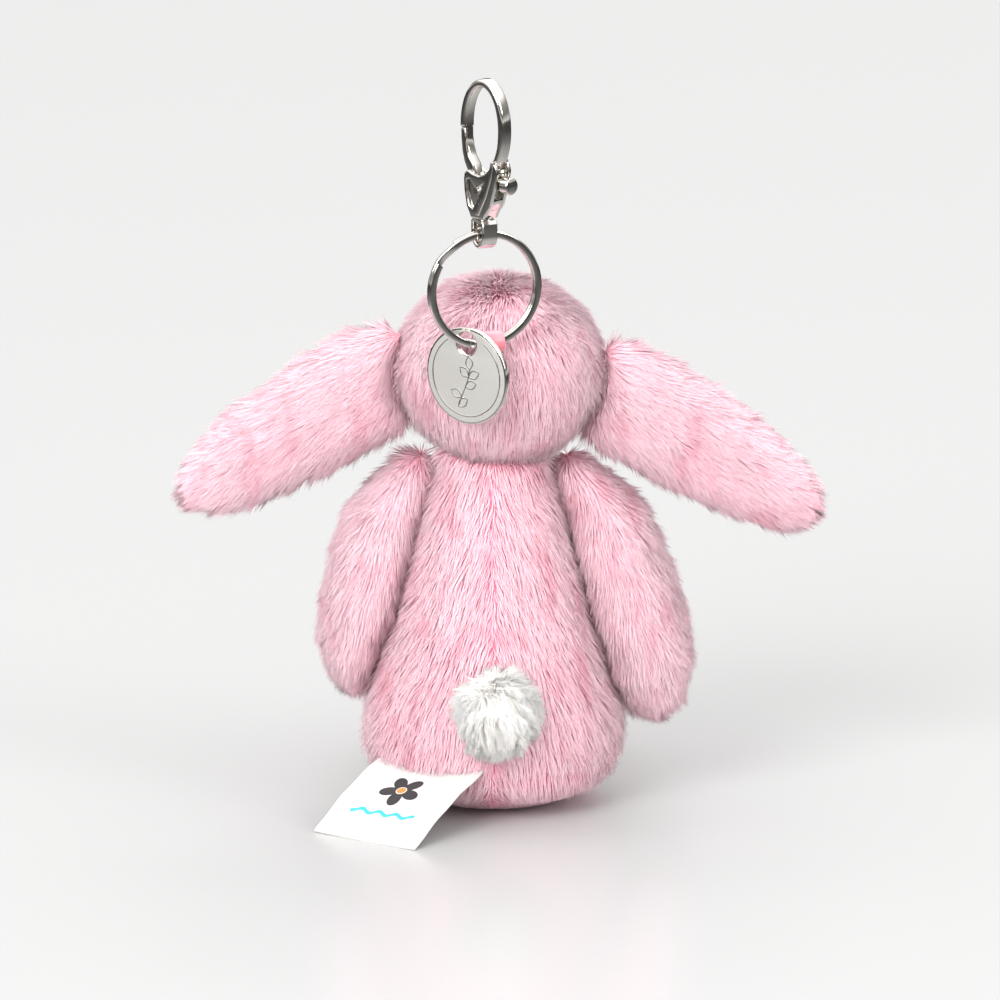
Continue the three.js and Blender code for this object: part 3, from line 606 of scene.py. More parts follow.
# %% Head
head_skin = skin_of(
    "head_plush", ["head_back_left", "head_back_right", "head_face", "head_stuffing"], 1.5 * MM, 12, pink_knit
)
puff(head_skin, head_seams, 0.9 * MM)
finished_skin(head_skin)
eye_places = [sum((Vector(c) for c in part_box(f"eye_{side}")), Vector()) / 2 for side in ("left", "right")]
nose_place = sum((Vector(c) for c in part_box("nose")), Vector()) / 2


def head_comb(p):
    """From the forehead back over the top, down and outwards behind, and back from the nose on the face."""
    out = p - np.array([head_middle.x, head_middle.y, head_middle.z])
    flow = np.column_stack([out[:, 0] * 22, np.full(len(p), -0.5), np.full(len(p), -0.8)])
    face = np.clip((p[:, 1] - 8 * MM) / (10 * MM), 0, 1)[:, None]
    from_nose = p - np.array(nose_place)
    from_nose /= np.maximum(np.linalg.norm(from_nose, axis=1, keepdims=True), 1e-6)
    return flow * (1 - face) + from_nose * face


def head_pile(p):
    """Short round the eyes and the nose, long elsewhere."""
    share = np.ones(len(p))
    for place, reach in [(eye_places[0], 9), (eye_places[1], 9), (nose_place, 13)]:
        away = np.linalg.norm(p - np.array(place), axis=1)
        share = np.minimum(share, 0.28 + 0.72 * np.clip((away / MM - 3) / reach, 0, 1))
    front = np.clip((p[:, 1] - side_seam) / (14 * MM), 0, 1)
    return share * (1 - 0.35 * front)


comb_skin(head_skin, head_comb, head_pile)
head_hair = grow_pile("head_pile", head_skin, pink_pile, 11, 48000)

# %% [markdown]
# ## Body
# The body is a pear, narrow at the neck and full at the base, so that it sits. A pouch of beans inside
# the base keeps it upright. The pile is brushed straight down, and parts along the back seam.

# %% Body
body_skin = skin_of(
    "body_plush", ["body_back_left", "body_back_right", "belly", "body_stuffing", "base_panel", "bean_pouch"],
    1.6 * MM, 8, pink_knit,
)
puff(body_skin, body_seams, 1.1 * MM)
flat_low = cad_box[0][2]
settled = coordinates(body_skin.data)
settled[:, 2] = np.maximum(settled[:, 2], flat_low + 0.2 * MM)
set_coordinates(body_skin.data, settled)
finished_skin(body_skin)


def body_comb(p):
    """Down, and a little away from the back seam; outwards under the base."""
    away = np.where(p[:, 1] < 0, 0.3 * np.sign(p[:, 0]) * np.exp(-np.abs(p[:, 0]) / (7 * MM)), 0)
    out = np.where(p[:, 2] < base_seam, 26, 7)
    return np.column_stack([p[:, 0] * out + away, p[:, 1] * out, np.full(len(p), -1.0)])


def body_pile(p):
    """Full length on the sides, short along the back seam and under the base, where it rests on the table."""
    low = np.clip((p[:, 2] - 2.5 * MM) / (9 * MM), 0, 1)
    back_seam = np.where(p[:, 1] < 0, np.exp(-(p[:, 0] / (1.8 * MM)) ** 2), 0)
    crease = np.exp(-((p[:, 2] - base_seam) / (1.3 * MM)) ** 2)
    return (0.12 + 0.88 * low) * (1 - 0.5 * np.maximum(back_seam, crease))


comb_skin(body_skin, body_comb, body_pile)
body_hair = grow_pile("body_pile", body_skin, pink_pile, 23, 48500)

# %% [markdown]
# ## Arms
# Each arm is a long stuffed teardrop sewn on at the shoulder, with a flat inner side that lies beside
# the body. It is made once for each side from that side's own solids.


# %% Arms
SHOULDER_REACH = 4 * MM  # how far the top of an arm is drawn in to the seam that it is sewn into
arms = {}
for side, sign, seed in [("left", -1, 31), ("right", 1, 37)]:
    nodes = [f"arm_outer_{side}", f"arm_inner_{side}", f"arm_stuffing_{side}"]
    arm = skin_of(f"arm_plush_{side}", nodes, 1.4 * MM, 10, pink_knit)
    sewn = coordinates(arm.data)
    near_seam = np.clip((sewn[:, 2] - (sewn[:, 2].max() - 13 * MM)) / (10 * MM), 0, 1)
    sewn[:, 0] -= sign * SHOULDER_REACH * near_seam
    set_coordinates(arm.data, sewn)
    puff(arm, lambda p: np.full(len(p), 1.0), 0.7 * MM)
    finished_skin(arm)
    lean = math.tan(math.radians(16))
    downwards = np.array([sign * lean, -0.05, -1.0])
    comb_skin(arm, lambda p: np.tile(downwards, (len(p), 1)), lambda p: 1.0)
    hair = grow_pile(f"arm_pile_{side}", arm, pink_pile, seed, 32000)
    arms[side] = (arm, hair)

# %% [markdown]
# ## Ears
# The ears are two layers of plush, hardly stuffed, so they hang flat. The back has the long pile and
# the front a shorter one, in the same material although the real front is paler. The seam between them runs
# round the edge.

# %% Ears
ears = {}
for side, sign, seed in [("left", -1, 41), ("right", 1, 43)]:
    ear = skin_of(f"ear_plush_{side}", [f"ear_back_{side}", f"ear_lining_{side}"], 1.25 * MM, 6, pink_knit)
    puff(ear, lambda p: np.full(len(p), 1.0), 0.5 * MM)
    finished_skin(ear)
    low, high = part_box(f"ear_back_{side}")
    root_x = min(abs(low.x), abs(high.x))

    def ear_comb(p):
        """Out along the ear, with the edges brushed a little outwards."""
        middle = low.z + (high.z - low.z) * (1 - (np.abs(p[:, 0]) - root_x) / (high.x - low.x))
        spread = np.clip((p[:, 2] - middle) * 16, -0.35, 0.35)
        return np.column_stack([np.full(len(p), sign * 0.86), np.full(len(p), -0.02), -0.5 + spread])

    comb_skin(ear, ear_comb, lambda p: np.where(p[:, 1] > side_seam + 1.5 * MM, 0.6, 1.0))
    hair = grow_pile(f"ear_pile_{side}", ear, pink_pile, seed, 38000)
    ears[side] = (ear, hair)

# %% [markdown]
# ## Feet and tail
# The feet point forwards from the base, with shorter pile under the sole. The tail is a pompom of cream
# pile, whose locks are longer, looser and go every way.

# %% Feet
feet = {}
for side, seed in [("left", 51), ("right", 53)]:
    nodes = [f"foot_upper_{side}", f"foot_sole_{side}", f"foot_stuffing_{side}"]
    foot = skin_of(f"foot_plush_{side}", nodes, 1.3 * MM, 6, pink_knit)
    puff(foot, lambda p: np.abs(p[:, 2] - 4 * MM), 0.5 * MM)
    settled = coordinates(foot.data)
    settled[:, 2] = np.maximum(settled[:, 2], flat_low + 0.2 * MM)
    set_coordinates(foot.data, settled)
    finished_skin(foot)
    forwards = np.array([0.0, 1.0, -0.35])
    comb_skin(foot, lambda p: np.tile(forwards, (len(p), 1)),
              lambda p: 0.12 + 0.73 * np.clip((p[:, 2] - 1.5 * MM) / (6 * MM), 0, 1))
    hair = grow_pile(f"foot_pile_{side}", foot, pink_pile, seed, 15000, Length=5.2 * MM)
    feet[side] = (foot, hair)

# %% Tail
tail_skin = skin_of("tail_plush", ["tail"], 1.2 * MM, 8, cream_knit)
finished_skin(tail_skin)
tail_middle = (tail_low + tail_high) / 2


def tail_comb(p):
    """Down and a little outwards from the middle."""
    out = (p - np.array(tail_middle)) * 38
    return out + np.array([0.12, 0, -0.5])


comb_skin(tail_skin, tail_comb, lambda p: 1.0)
tail_hair = grow_pile("tail_pile", tail_skin, cream_pile, 61, 30000, Length=5.0 * MM, Lift=0.5,
                      Wave=3.2, **{"Wave Scale": 230.0, "Lock Size": 2.6 * MM, "Lock Pull": 0.6})

# %% [markdown]
# ## The sewn label
# A woven satin tape is folded in half and caught in the base seam, so it has two leaves with a fold at
# its free end. It is stiff enough to stand off the body in a shallow arch and rest its fold on the table.
# A care leaf of thinner tape lies under it. Each leaf is one sheet, bent in code by a rule along its
# length, and then given its thickness.

# %% Label sizes from the frame
label_plane = frame["nodes"]["sewn_label"].data
label_points = coordinates(label_plane)
label_mean = label_points.mean(axis=0)
label_axes = np.linalg.svd(label_points - label_mean, full_matrices=False)[2]
label_normal = Vector(label_axes[2]) if label_axes[2][2] > 0 else -Vector(label_axes[2])
downhill = Vector((label_normal.x, label_normal.y, 0)).normalized()
label_down = (downhill - label_normal * downhill.dot(label_normal)).normalized()
label_across = label_normal.cross(label_down).normalized()


def span(node_name, direction):
    """How far a frame node reaches along a direction: its lowest and highest value."""
    values = coordinates(frame["nodes"][node_name].data) @ np.array(direction)
    return values.min(), values.max()


for node_name in ("sewn_label", "care_label"):
    width = np.ptp(span(node_name, label_across)) / MM
    length = np.ptp(span(node_name, label_down)) / MM
    print(node_name, "is", round(width, 1), "mm wide and shows", round(length, 1), "mm of length")


# %% Woven label tape
def tape_material(name, motif):
    """Woven polyester satin: fine weft ribs 0.35 mm apart, white, with a soft gloss; the motif is printed."""
    material, tree, shader = new_material(name, Roughness=0.48, Sheen_Weight=0.15, Specular_IOR_Level=0.35)
    flat = add(tree, "ShaderNodeAttribute", {"attribute_name": "flat"}).outputs["Vector"]
    parts = add(tree, "ShaderNodeSeparateXYZ", inputs={0: flat})

    def maths(operation, first, second=0.0):
        return add(tree, "ShaderNodeMath", {"operation": operation}, {0: first, 1: second}).outputs[0]

    ribs = maths("SINE", maths("MULTIPLY", parts.outputs["Y"], 2 * math.pi / 0.35))
    warp = maths("SINE", maths("MULTIPLY", parts.outputs["X"], 2 * math.pi / 0.3))
    weave = maths("MULTIPLY_ADD", ribs, 0.7)
    tree.links.new(warp, weave.node.inputs[2])
    bump = add(tree, "ShaderNodeBump", inputs={"Strength": 0.25, "Distance": 0.00006, "Height": weave})
    tree.links.new(bump.outputs[0], shader.inputs["Normal"])
    shade = add(tree, "ShaderNodeTexNoise", inputs={"Vector": flat, "Scale": 0.25, "Detail": 3.0})
    colour = ramp(tree, shade.outputs[0], [(0.3, "#d6d4d0"), (0.7, "#e0deda")])
    if motif:
        colour = print_motif(tree, colour, parts, maths)
    tree.links.new(colour, shader.inputs["Base Color"])
    return material


def print_motif(tree, colour, parts, maths):
    """A generic printed sprig: a dark five-petal flower over a waved teal line. flat is in millimetres."""
    across = maths("ADD", parts.outputs["X"], 0.6)
    down = maths("SUBTRACT", parts.outputs["Y"], 13.0)
    radius = maths("POWER", maths("ADD", maths("POWER", across, 2.0), maths("POWER", down, 2.0)), 0.5)
    angle = maths("ARCTAN2", across, down)
    petals = maths("MULTIPLY", maths("ABSOLUTE", maths("COSINE", maths("MULTIPLY", angle, 2.5))), 3.1)
    edge = maths("ADD", petals, 2.5)
    inside = maths("MULTIPLY", maths("LESS_THAN", radius, edge), maths("GREATER_THAN", radius, 1.4))
    heart = maths("LESS_THAN", radius, 1.15)
    wave = maths("MULTIPLY", maths("SINE", maths("MULTIPLY", across, 1.3)), 0.55)
    off_wave = maths("ABSOLUTE", maths("SUBTRACT", maths("SUBTRACT", parts.outputs["Y"], 21.6), wave))
    in_span = maths("LESS_THAN", maths("ABSOLUTE", across), 9.0)
    garland = maths("MULTIPLY", maths("LESS_THAN", off_wave, 0.6), in_span)
    for mask, code in [(inside, "#2b2a2c"), (heart, "#e98a3c"), (garland, "#39b6cf")]:
        mix = add(tree, "ShaderNodeMix", {"data_type": "RGBA"}, {"Factor": mask})
        tree.links.new(colour, mix.inputs[6])
        mix.inputs[7].default_value = linear(code)
        colour = mix.outputs[2]
    return colour


printed_tape = tape_material("white_satin_label_tape", True)
plain_tape = tape_material("plain_satin_care_tape", False)


# %% Bend a leaf of tape
def tape_leaf(name, node_name, rise, thickness, material, fold):
    """A leaf that follows its frame node's slope with a shallow arch, as one sheet given its thickness; fold
    sets whether the thickness grows under the sheet or centred on it.
    """
    low_x, high_x = span(node_name, label_across)
    low_d, high_d = span(node_name, label_down)
    width, length = high_x - low_x, high_d - low_d
    middle = sum(span(node_name, label_normal)) / 2
    across_steps, down_steps = 24, 36
    shape = bmesh.new()
    flat_layer = shape.verts.layers.float_vector.new("flat")
    rows = []
    for j in range(down_steps + 1):
        v = j / down_steps
        row = []
        for i in range(across_steps + 1):
            u = i / across_steps - 0.5
            arch = rise * math.sin(math.pi * v) + 0.12 * MM * math.sin(17 * v + 5 * u)
            curl = 0.35 * MM * (2 * u) ** 2 * v
            point = (label_across * ((low_x + high_x) / 2 + u * width) + label_down * (low_d + v * length)
                     + label_normal * (middle + arch + curl))
            point.z = max(point.z, 0.45 * MM)
            vertex = shape.verts.new(point)
            vertex[flat_layer] = Vector((u * width / MM, v * length / MM, 0))
            row.append(vertex)
        rows.append(row)
    for j in range(down_steps):
        for i in range(across_steps):
            shape.faces.new((rows[j][i], rows[j + 1][i], rows[j + 1][i + 1], rows[j][i + 1]))
    bmesh.ops.recalc_face_normals(shape, faces=shape.faces)
    mesh = bpy.data.meshes.new(name)
    shape.to_mesh(mesh)
    shape.free()
    if mesh.polygons[0].normal.dot(label_normal) < 0:
        mesh.flip_normals()
    piece = link(name, mesh, material)
    wall = piece.modifiers.new("wall", "SOLIDIFY")
    wall.thickness = thickness
    wall.offset = -1 if fold else 0
    rounded = piece.modifiers.new("rounded", "BEVEL")
    rounded.width = 0.3 * thickness
    rounded.segments = 2
    applied(piece)
    piece.data.shade_smooth()
    print(name, "is", round(width / MM, 1), "by", round(length / MM, 1), "mm")
    return piece, width, length


label_leaf, label_width, label_length = tape_leaf(
    "label_top_leaf", "sewn_label", 1.1 * MM, 0.55 * MM, printed_tape, True)
care_leaf, care_width, care_length = tape_leaf(
    "care_leaf", "care_label", 0.5 * MM, 0.35 * MM, plain_tape, False)

# %% [markdown]
# ## Nickel plate
# The snap, the ring, the eye and the charm are zinc castings and steel wire under bright nickel. Nickel
# is a warm white metal with a mirror polish. It shows what stands round it, so most of its look comes
# from the lights. The material adds faint polishing waves, and its colour is a little darker in their dips.


# %% Metal materials
def metal_material(name, colour, roughness, grain, grain_size, rough_change, metallic=1.0):
    """Plated metal: a slight waviness from polishing or brushing, with a roughness and a colour that change a
    little along it, the colour a little darker in its dips.
    """
    material, tree, shader = new_material(name, Metallic=metallic)
    place = add(tree, "ShaderNodeTexCoord").outputs["Object"]
    waves = add(tree, "ShaderNodeTexNoise", inputs={"Vector": place, "Scale": 1 / grain_size, "Detail": 3.0})
    rough = add(tree, "ShaderNodeMapRange", inputs={
        "Value": waves.outputs[0], "From Min": 0.3, "From Max": 0.7,
        "To Min": roughness, "To Max": roughness + rough_change,
    })
    tree.links.new(rough.outputs[0], shader.inputs["Roughness"])
    bump = add(tree, "ShaderNodeBump", inputs={
        "Strength": grain, "Distance": 0.04 * MM, "Height": waves.outputs[0],
    })
    tree.links.new(bump.outputs[0], shader.inputs["Normal"])
    # the colour follows the same waves, a little darker where the bump is low
    wave_tone = ramp(tree, waves.outputs[0], [(0.25, colour[0]), (0.75, colour[1])])
    tree.links.new(wave_tone, shader.inputs["Base Color"])
    return material


bright_nickel = metal_material("bright_nickel_plate", ("#d8d4ce", "#e6e3de"), 0.07, 0.15, 2.5 * MM, 0.08)
satin_nickel = metal_material(
    "satin_brushed_nickel", ("#d6d4cf", "#e2e0db"), 0.42, 0.5, 0.25 * MM, 0.1, metallic=0.7,
)
spring_steel = metal_material("spring_steel_wire", ("#9da1a6", "#b7babd"), 0.28, 0.3, 0.6 * MM, 0.12)

# %% [markdown]
# ## The trigger snap
# The snap is a flat casting with softened edges, so each of its plates is a flat outline with depth and
# a bevel all round. A 2D curve does this in one step: its extrude gives the depth, and its bevel rounds
# the edge. An offset of minus the bevel keeps the outline at its real size.


# %% Plates from flat outlines
def chain_frame(turn, height):
    """The upright line on which the metal hangs, turned about +Z by an angle and raised to a height."""
    eye_low, eye_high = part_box("swivel_eye")
    centre = (eye_low + eye_high) / 2
    return Matrix.Translation((centre.x, centre.y, height)) @ Matrix.Rotation(turn, 4, "Z")


def rounded_plate(outlines, depth, bevel, offset=0.0, segments=3):
    """A flat plate in the x-z plane, from closed outlines in millimetres; inner ones become holes."""
    curve = bpy.data.curves.new("outline", "CURVE")
    curve.dimensions = "2D"
    curve.fill_mode = "BOTH"
    for outline in outlines:
        spline = curve.splines.new("POLY")
        spline.points.add(len(outline) - 1)
        for point, (x, z) in zip(spline.points, outline):
            point.co = (x * MM, z * MM, 0, 1)
        spline.use_cyclic_u = True
    curve.extrude = (depth / 2 - bevel) * MM
    curve.bevel_depth = bevel * MM
    curve.bevel_resolution = segments
    curve.offset = -bevel * MM
    host = bpy.data.objects.new("outline", curve)
    bpy.context.scene.collection.objects.link(host)
    bpy.context.view_layer.update()
    mesh = bpy.data.meshes.new_from_object(host.evaluated_get(bpy.context.evaluated_depsgraph_get()))
    bpy.data.objects.remove(host)
    bpy.data.curves.remove(curve)
    mesh.transform(Matrix.Translation((0, offset * MM, 0)) @ Matrix.Rotation(math.pi / 2, 4, "X"))
    shape = bmesh.new()
    shape.from_mesh(mesh)
    bmesh.ops.remove_doubles(shape, verts=shape.verts, dist=1e-6)
    bmesh.ops.recalc_face_normals(shape, faces=shape.faces)
    shape.to_mesh(mesh)
    shape.free()
    return mesh


def joined(name, meshes, place, material, angle=40):
    """Several meshes as one piece, put in place, smooth across gentle edges."""
    shape = bmesh.new()
    for mesh in meshes:
        shape.from_mesh(mesh)
        bpy.data.meshes.remove(mesh)
    bmesh.ops.transform(shape, matrix=place, verts=shape.verts)
    result = bpy.data.meshes.new(name)
    shape.to_mesh(result)
    shape.free()
    piece = link(name, result, material)
    piece.data.shade_smooth()
    piece.data.set_sharp_from_angle(angle=math.radians(angle))
    return piece


def lathe(profile, sides=40):
    """A body turned about +Z from (radius, height) points in millimetres that start and end on the axis."""
    shape = bmesh.new()
    rings = []
    for radius, height in profile:
        if radius == 0:
            rings.append([shape.verts.new((0, 0, height * MM))])
            continue
        rings.append([shape.verts.new((radius * MM * math.cos(a), radius * MM * math.sin(a), height * MM))
                      for a in (2 * math.pi * k / sides for k in range(sides))])
    for lower, upper in zip(rings, rings[1:]):
        for k in range(sides):
            corners = [lower[k % len(lower)], lower[(k + 1) % len(lower)],
                       upper[(k + 1) % len(upper)], upper[k % len(upper)]]
            corners = list(dict.fromkeys(corners))
            if len(corners) > 2:
                shape.faces.new(corners)
    bmesh.ops.recalc_face_normals(shape, faces=shape.faces)
    mesh = bpy.data.meshes.new("turned")
    shape.to_mesh(mesh)
    shape.free()
    return mesh


def ellipse_arc(middle, half_width, half_height, start, end, steps):
    """Points along an ellipse between two angles in degrees, counted from +x."""
    angles = [math.radians(start + (end - start) * k / steps) for k in range(steps + 1)]
    return [(middle[0] + half_width * math.cos(a), middle[1] + half_height * math.sin(a)) for a in angles]


# %% Snap sizes
hook_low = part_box("hook_body")[0]
HOOK_TURN = math.radians(22 - 67)  # the snap's flat plane, seen from above
hook_place = chain_frame(HOOK_TURN, hook_low.z)
LOOP_MIDDLE = (0.5, 21.6)
LOOP_OUTER = (7.15, 11.7)
LOOP_LIMB = 1.9
NOSE_ANGLE = 183

# %% Snap loop and nose
inner_loop = (LOOP_OUTER[0] - LOOP_LIMB, LOOP_OUTER[1] - LOOP_LIMB)
loop_outline = ellipse_arc(LOOP_MIDDLE, *LOOP_OUTER, -52, NOSE_ANGLE, 72)
loop_outline += ellipse_arc(LOOP_MIDDLE, *inner_loop, NOSE_ANGLE, -58, 66)
loop_mesh = rounded_plate([loop_outline], 3.4, 0.75, segments=4)

# %% [markdown]
# Below the loop the casting opens into a slotted wedge. Its two cheeks have a thick rounded rim round a
# sunk panel, whose top edge dips in a V, and a raised spine carries the line of the limb down to the
# foot. A short web closes the slot above the foot.

# %% Snap cheeks, spine and foot
RIGHT_EDGE = [(2.1, 0.0), (2.6, 1.1), (4.3, 3.3), (5.5, 7.4), (6.6, 11.8), (6.1, 13.6), (5.0, 14.0)]
LEFT_EDGE = [
    (-3.0, 11.2), (-3.8, 10.9), (-4.3, 10.2), (-4.5, 8.9), (-4.3, 6.2), (-3.6, 2.7), (-2.7, 1.1), (-2.2, 0.0),
]
TOP_EDGE = [(3.9, 12.6), (2.2, 11.0), (0.4, 10.3), (-1.6, 10.6)]
PANEL = [(-3.5, 8.9), (-3.4, 6.0), (-2.6, 2.9), (-1.6, 2.2), (0.5, 5.6), (1.7, 8.4), (-0.3, 6.9), (-2.6, 9.2)]
cheek = RIGHT_EDGE + TOP_EDGE + LEFT_EDGE
near_rim = rounded_plate([cheek, PANEL], 0.9, 0.38, offset=-2.05, segments=4)
near_panel = rounded_plate([cheek], 0.3, 0.05, offset=-1.8, segments=1)
far_cheek = rounded_plate([cheek], 0.9, 0.38, offset=2.05, segments=4)
foot_block = rounded_plate([[(-2.2, 0.0), (2.2, 0.0), (3.2, 2.1), (-3.0, 2.1)]], 4.6, 0.3)
web = rounded_plate([[(2.0, 1.2), (2.5, 1.2), (4.15, 3.4), (4.5, 4.6), (3.5, 4.6), (3.0, 3.2)]], 4.4, 0.15)
SPINE = [(4.5, 14.4), (3.9, 12.0), (2.2, 6.8), (-0.7, 1.0), (0.7, 0.7), (3.2, 5.6), (4.9, 10.4), (5.5, 14.4)]
spines = [rounded_plate([SPINE], 1.0, 0.4, offset=side * 2.2) for side in (-1, 1)]

snap_parts = [loop_mesh, near_rim, near_panel, far_cheek, foot_block, web, *spines]
hook_body = joined("snap_body", snap_parts, hook_place, bright_nickel)
print("snap body:", len(hook_body.data.polygons), "faces")

# %% Snap gate, stud and knob
GATE_BAR = [
    (-6.6, 20.6), (-6.55, 18.4), (-6.2, 15.2), (-5.5, 12.7), (-4.4, 10.6), (-1.9, 9.2), (-1.4, 10.2),
    (-2.2, 12.6), (-3.5, 14.2), (-4.3, 16.4), (-4.7, 18.6), (-4.75, 21.0), (-6.3, 21.0),
]
GATE_TAIL = [
    (-3.3, 11.2), (-3.1, 8.6), (-1.7, 5.5), (0.2, 5.0), (2.4, 6.6), (7.1, 7.8), (7.1, 9.8), (2.6, 9.2),
    (0.2, 8.8), (-1.4, 10.4),
]
gate_bar = rounded_plate([GATE_BAR], 2.9, 0.7, segments=4)
gate_tail = rounded_plate([GATE_TAIL], 1.4, 0.3, offset=0.65)
gate = joined("snap_gate", [gate_bar, gate_tail], hook_place, bright_nickel)

STUD_PROFILE = [(0, 0), (1.85, 0), (2.05, 0.2), (2.05, 2.1), (1.85, 2.4), (1.2, 2.55), (0, 2.6)]
stud_mesh = lathe(STUD_PROFILE, 48)
stud_mesh.transform(Matrix.Translation((6.75 * MM, 0, 8.8 * MM)) @ Matrix.Rotation(math.pi / 2, 4, "Y"))
KNOB_PROFILE = [(0, 0), (0.7, 0), (0.8, 0.2), (0.85, 0.8), (0.7, 1.1), (0.35, 1.25), (0, 1.3)]
knob_mesh = lathe(KNOB_PROFILE, 32)
knob_place = Matrix.Translation((5.7 * MM, -0.4 * MM, 11.7 * MM))
knob_mesh.transform(knob_place @ Matrix.Rotation(math.radians(80), 4, "Y"))
stud = joined("thumb_stud_cap", [stud_mesh], hook_place, bright_nickel, 25)
stop_knob = joined("stop_knob", [knob_mesh], hook_place, bright_nickel)

# %% [markdown]
# ## Eye, ring and charm
# The eye is a strap bent to a U, wide enough for the wire of the ring. The ring is a split ring: one
# spring-hard wire of rounded section, wound twice, with a short slanting stretch where it steps from
# one turn to the other. The charm is a punched disc with a polished rim and a brushed face.


# %% Sweep a rounded section along a path
def sweep(stations, section, closed_ends=True):
    """A tube through stations, each a place and two directions, with a section of (a, b) points in metres."""
    shape = bmesh.new()
    rings = [[shape.verts.new(place + first * a + second * b) for a, b in section]
             for place, first, second in stations]
    for lower, upper in zip(rings, rings[1:]):
        for k in range(len(section)):
            n = (k + 1) % len(section)
            shape.faces.new((lower[k], lower[n], upper[n], upper[k]))
    if closed_ends:
        shape.faces.new(list(reversed(rings[0])))
        shape.faces.new(rings[-1])
    bmesh.ops.recalc_face_normals(shape, faces=shape.faces)
    mesh = bpy.data.meshes.new("swept")
    shape.to_mesh(mesh)
    shape.free()
    return mesh


def rounded_section(width, height, radius, steps=3):
    """A rectangle with round corners, as points round its edge in metres."""
    points = []
    for cx, cz, start in [(1, 1, 0), (-1, 1, 90), (-1, -1, 180), (1, -1, 270)]:
        for k in range(steps + 1):
            a = math.radians(start + 90 * k / steps)
            points.append(((cx * (width / 2 - radius) + radius * math.cos(a)) * MM,
                           (cz * (height / 2 - radius) + radius * math.sin(a)) * MM))
    return points


# %% Split ring
CHAIN_TURN = math.radians(22)
ring_low, ring_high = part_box("split_ring")
ring_centre_z = (ring_low.z + ring_high.z) / 2
RING_OUTER = (ring_high.z - ring_low.z) / 2 / MM
WIRE_ACROSS, WIRE_DEPTH = 1.75, 1.0
STEP_AT, STEP_SPAN, WIRE_LEVEL = 46, 26, 0.55
ring_radius = RING_OUTER - WIRE_ACROSS / 2


def ring_station(turned):
    """A place on the ring's wire, so many degrees from its start, and its outward and sideways directions."""
    angle = math.radians(STEP_AT + STEP_SPAN / 2 + turned)
    share = min(max((turned - (360 - STEP_SPAN)) / STEP_SPAN, 0), 1)
    level = WIRE_LEVEL * (2 * share * share * (3 - 2 * share) - 1)
    outward = Vector((-math.sin(angle), 0, math.cos(angle)))
    return outward * ring_radius * MM + Vector((0, level * MM, 0)), outward, Vector((0, 1, 0))


wire_path = [ring_station((720 - STEP_SPAN) * k / 260) for k in range(261)]
wire_mesh = sweep(wire_path, rounded_section(WIRE_ACROSS, WIRE_DEPTH, 0.32))
ring = joined("split_ring_wire", [wire_mesh], chain_frame(CHAIN_TURN, ring_centre_z), bright_nickel, 50)

# %% Swivel eye
eye_low, eye_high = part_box("swivel_eye")
EYE_RADIUS, EYE_WALL, EYE_WIDTH = 2.85, 0.95, 4.0
strap_top = (eye_high.z - ring_centre_z) / MM - EYE_WALL / 2
strap_low = ring_radius
strap = [(0.4 - EYE_RADIUS, strap_top), (-EYE_RADIUS, strap_top - 0.4)]
strap += ellipse_arc((0, strap_low), EYE_RADIUS, EYE_RADIUS, 180, 360, 24)
strap += [(EYE_RADIUS, strap_top - 0.4), (EYE_RADIUS - 0.4, strap_top)]
strap_stations = []
for k, (y, z) in enumerate(strap):
    after, before = strap[(k + 1) % len(strap)], strap[k - 1]
    tangent = Vector((0, after[0] - before[0], after[1] - before[1])).normalized()
    strap_stations.append((Vector((0, y * MM, z * MM)), tangent.cross(Vector((1, 0, 0))), Vector((1, 0, 0))))
strap_stations.append(strap_stations[0])
strap_mesh = sweep(strap_stations, rounded_section(EYE_WALL, EYE_WIDTH, 0.42), closed_ends=False)
collar_mesh = lathe([(0, 0.4), (1.9, 0.4), (2.1, 0.6), (2.1, 0.95), (1.9, 1.15), (0, 1.15)])
collar_mesh.transform(Matrix.Translation((0, 0, (strap_top - 0.1) * MM)))
swivel = joined("swivel_strap", [strap_mesh, collar_mesh], chain_frame(math.radians(22 + 3), ring_centre_z),
                bright_nickel)

# %% Disc charm
DISC_TURN = math.radians(22 - 58)
disc_low, disc_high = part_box("disc_charm")
disc_middle = (disc_low + disc_high) / 2
DISC_RADIUS = (disc_high.z - disc_low.z) / 2 / MM
DISC_HOLE, DISC_EDGE, DISC_DEPTH = 2.75, 3.8, 1.35


def circle(x, z, radius, steps=72):
    """A closed round outline in millimetres."""
    return [(x + radius * math.cos(2 * math.pi * k / steps), z + radius * math.sin(2 * math.pi * k / steps))
            for k in range(steps)]


disc_place = Matrix.Translation(disc_middle) @ Matrix.Rotation(DISC_TURN, 4, "Z")
hole_outline = list(reversed(circle(0, DISC_RADIUS - DISC_EDGE, DISC_HOLE, 40)))
disc_mesh = rounded_plate([circle(0, 0, DISC_RADIUS, 96), hole_outline], DISC_DEPTH, 0.3)
disc = joined("disc_rim", [disc_mesh], disc_place, bright_nickel)

# %% [markdown]
# The face of the charm is brushed, and a simple picture is stamped in it. The picture here is a generic
# twig with leaves inside a thin border, made as raised lines. A stamped line is the same thing as a thin
# sweep along the line, so each line is a short tube that stands a little off the face.

# %% Charm face and stamped lines
face_plates = [rounded_plate([circle(0, 0, DISC_RADIUS - 0.55, 96),
                              list(reversed(circle(0, DISC_RADIUS - DISC_EDGE, DISC_HOLE + 0.35, 40)))],
                             0.16, 0.03, offset=side * (DISC_DEPTH / 2)) for side in (-1, 1)]
disc_face = joined("disc_faces", face_plates, disc_place, satin_nickel)


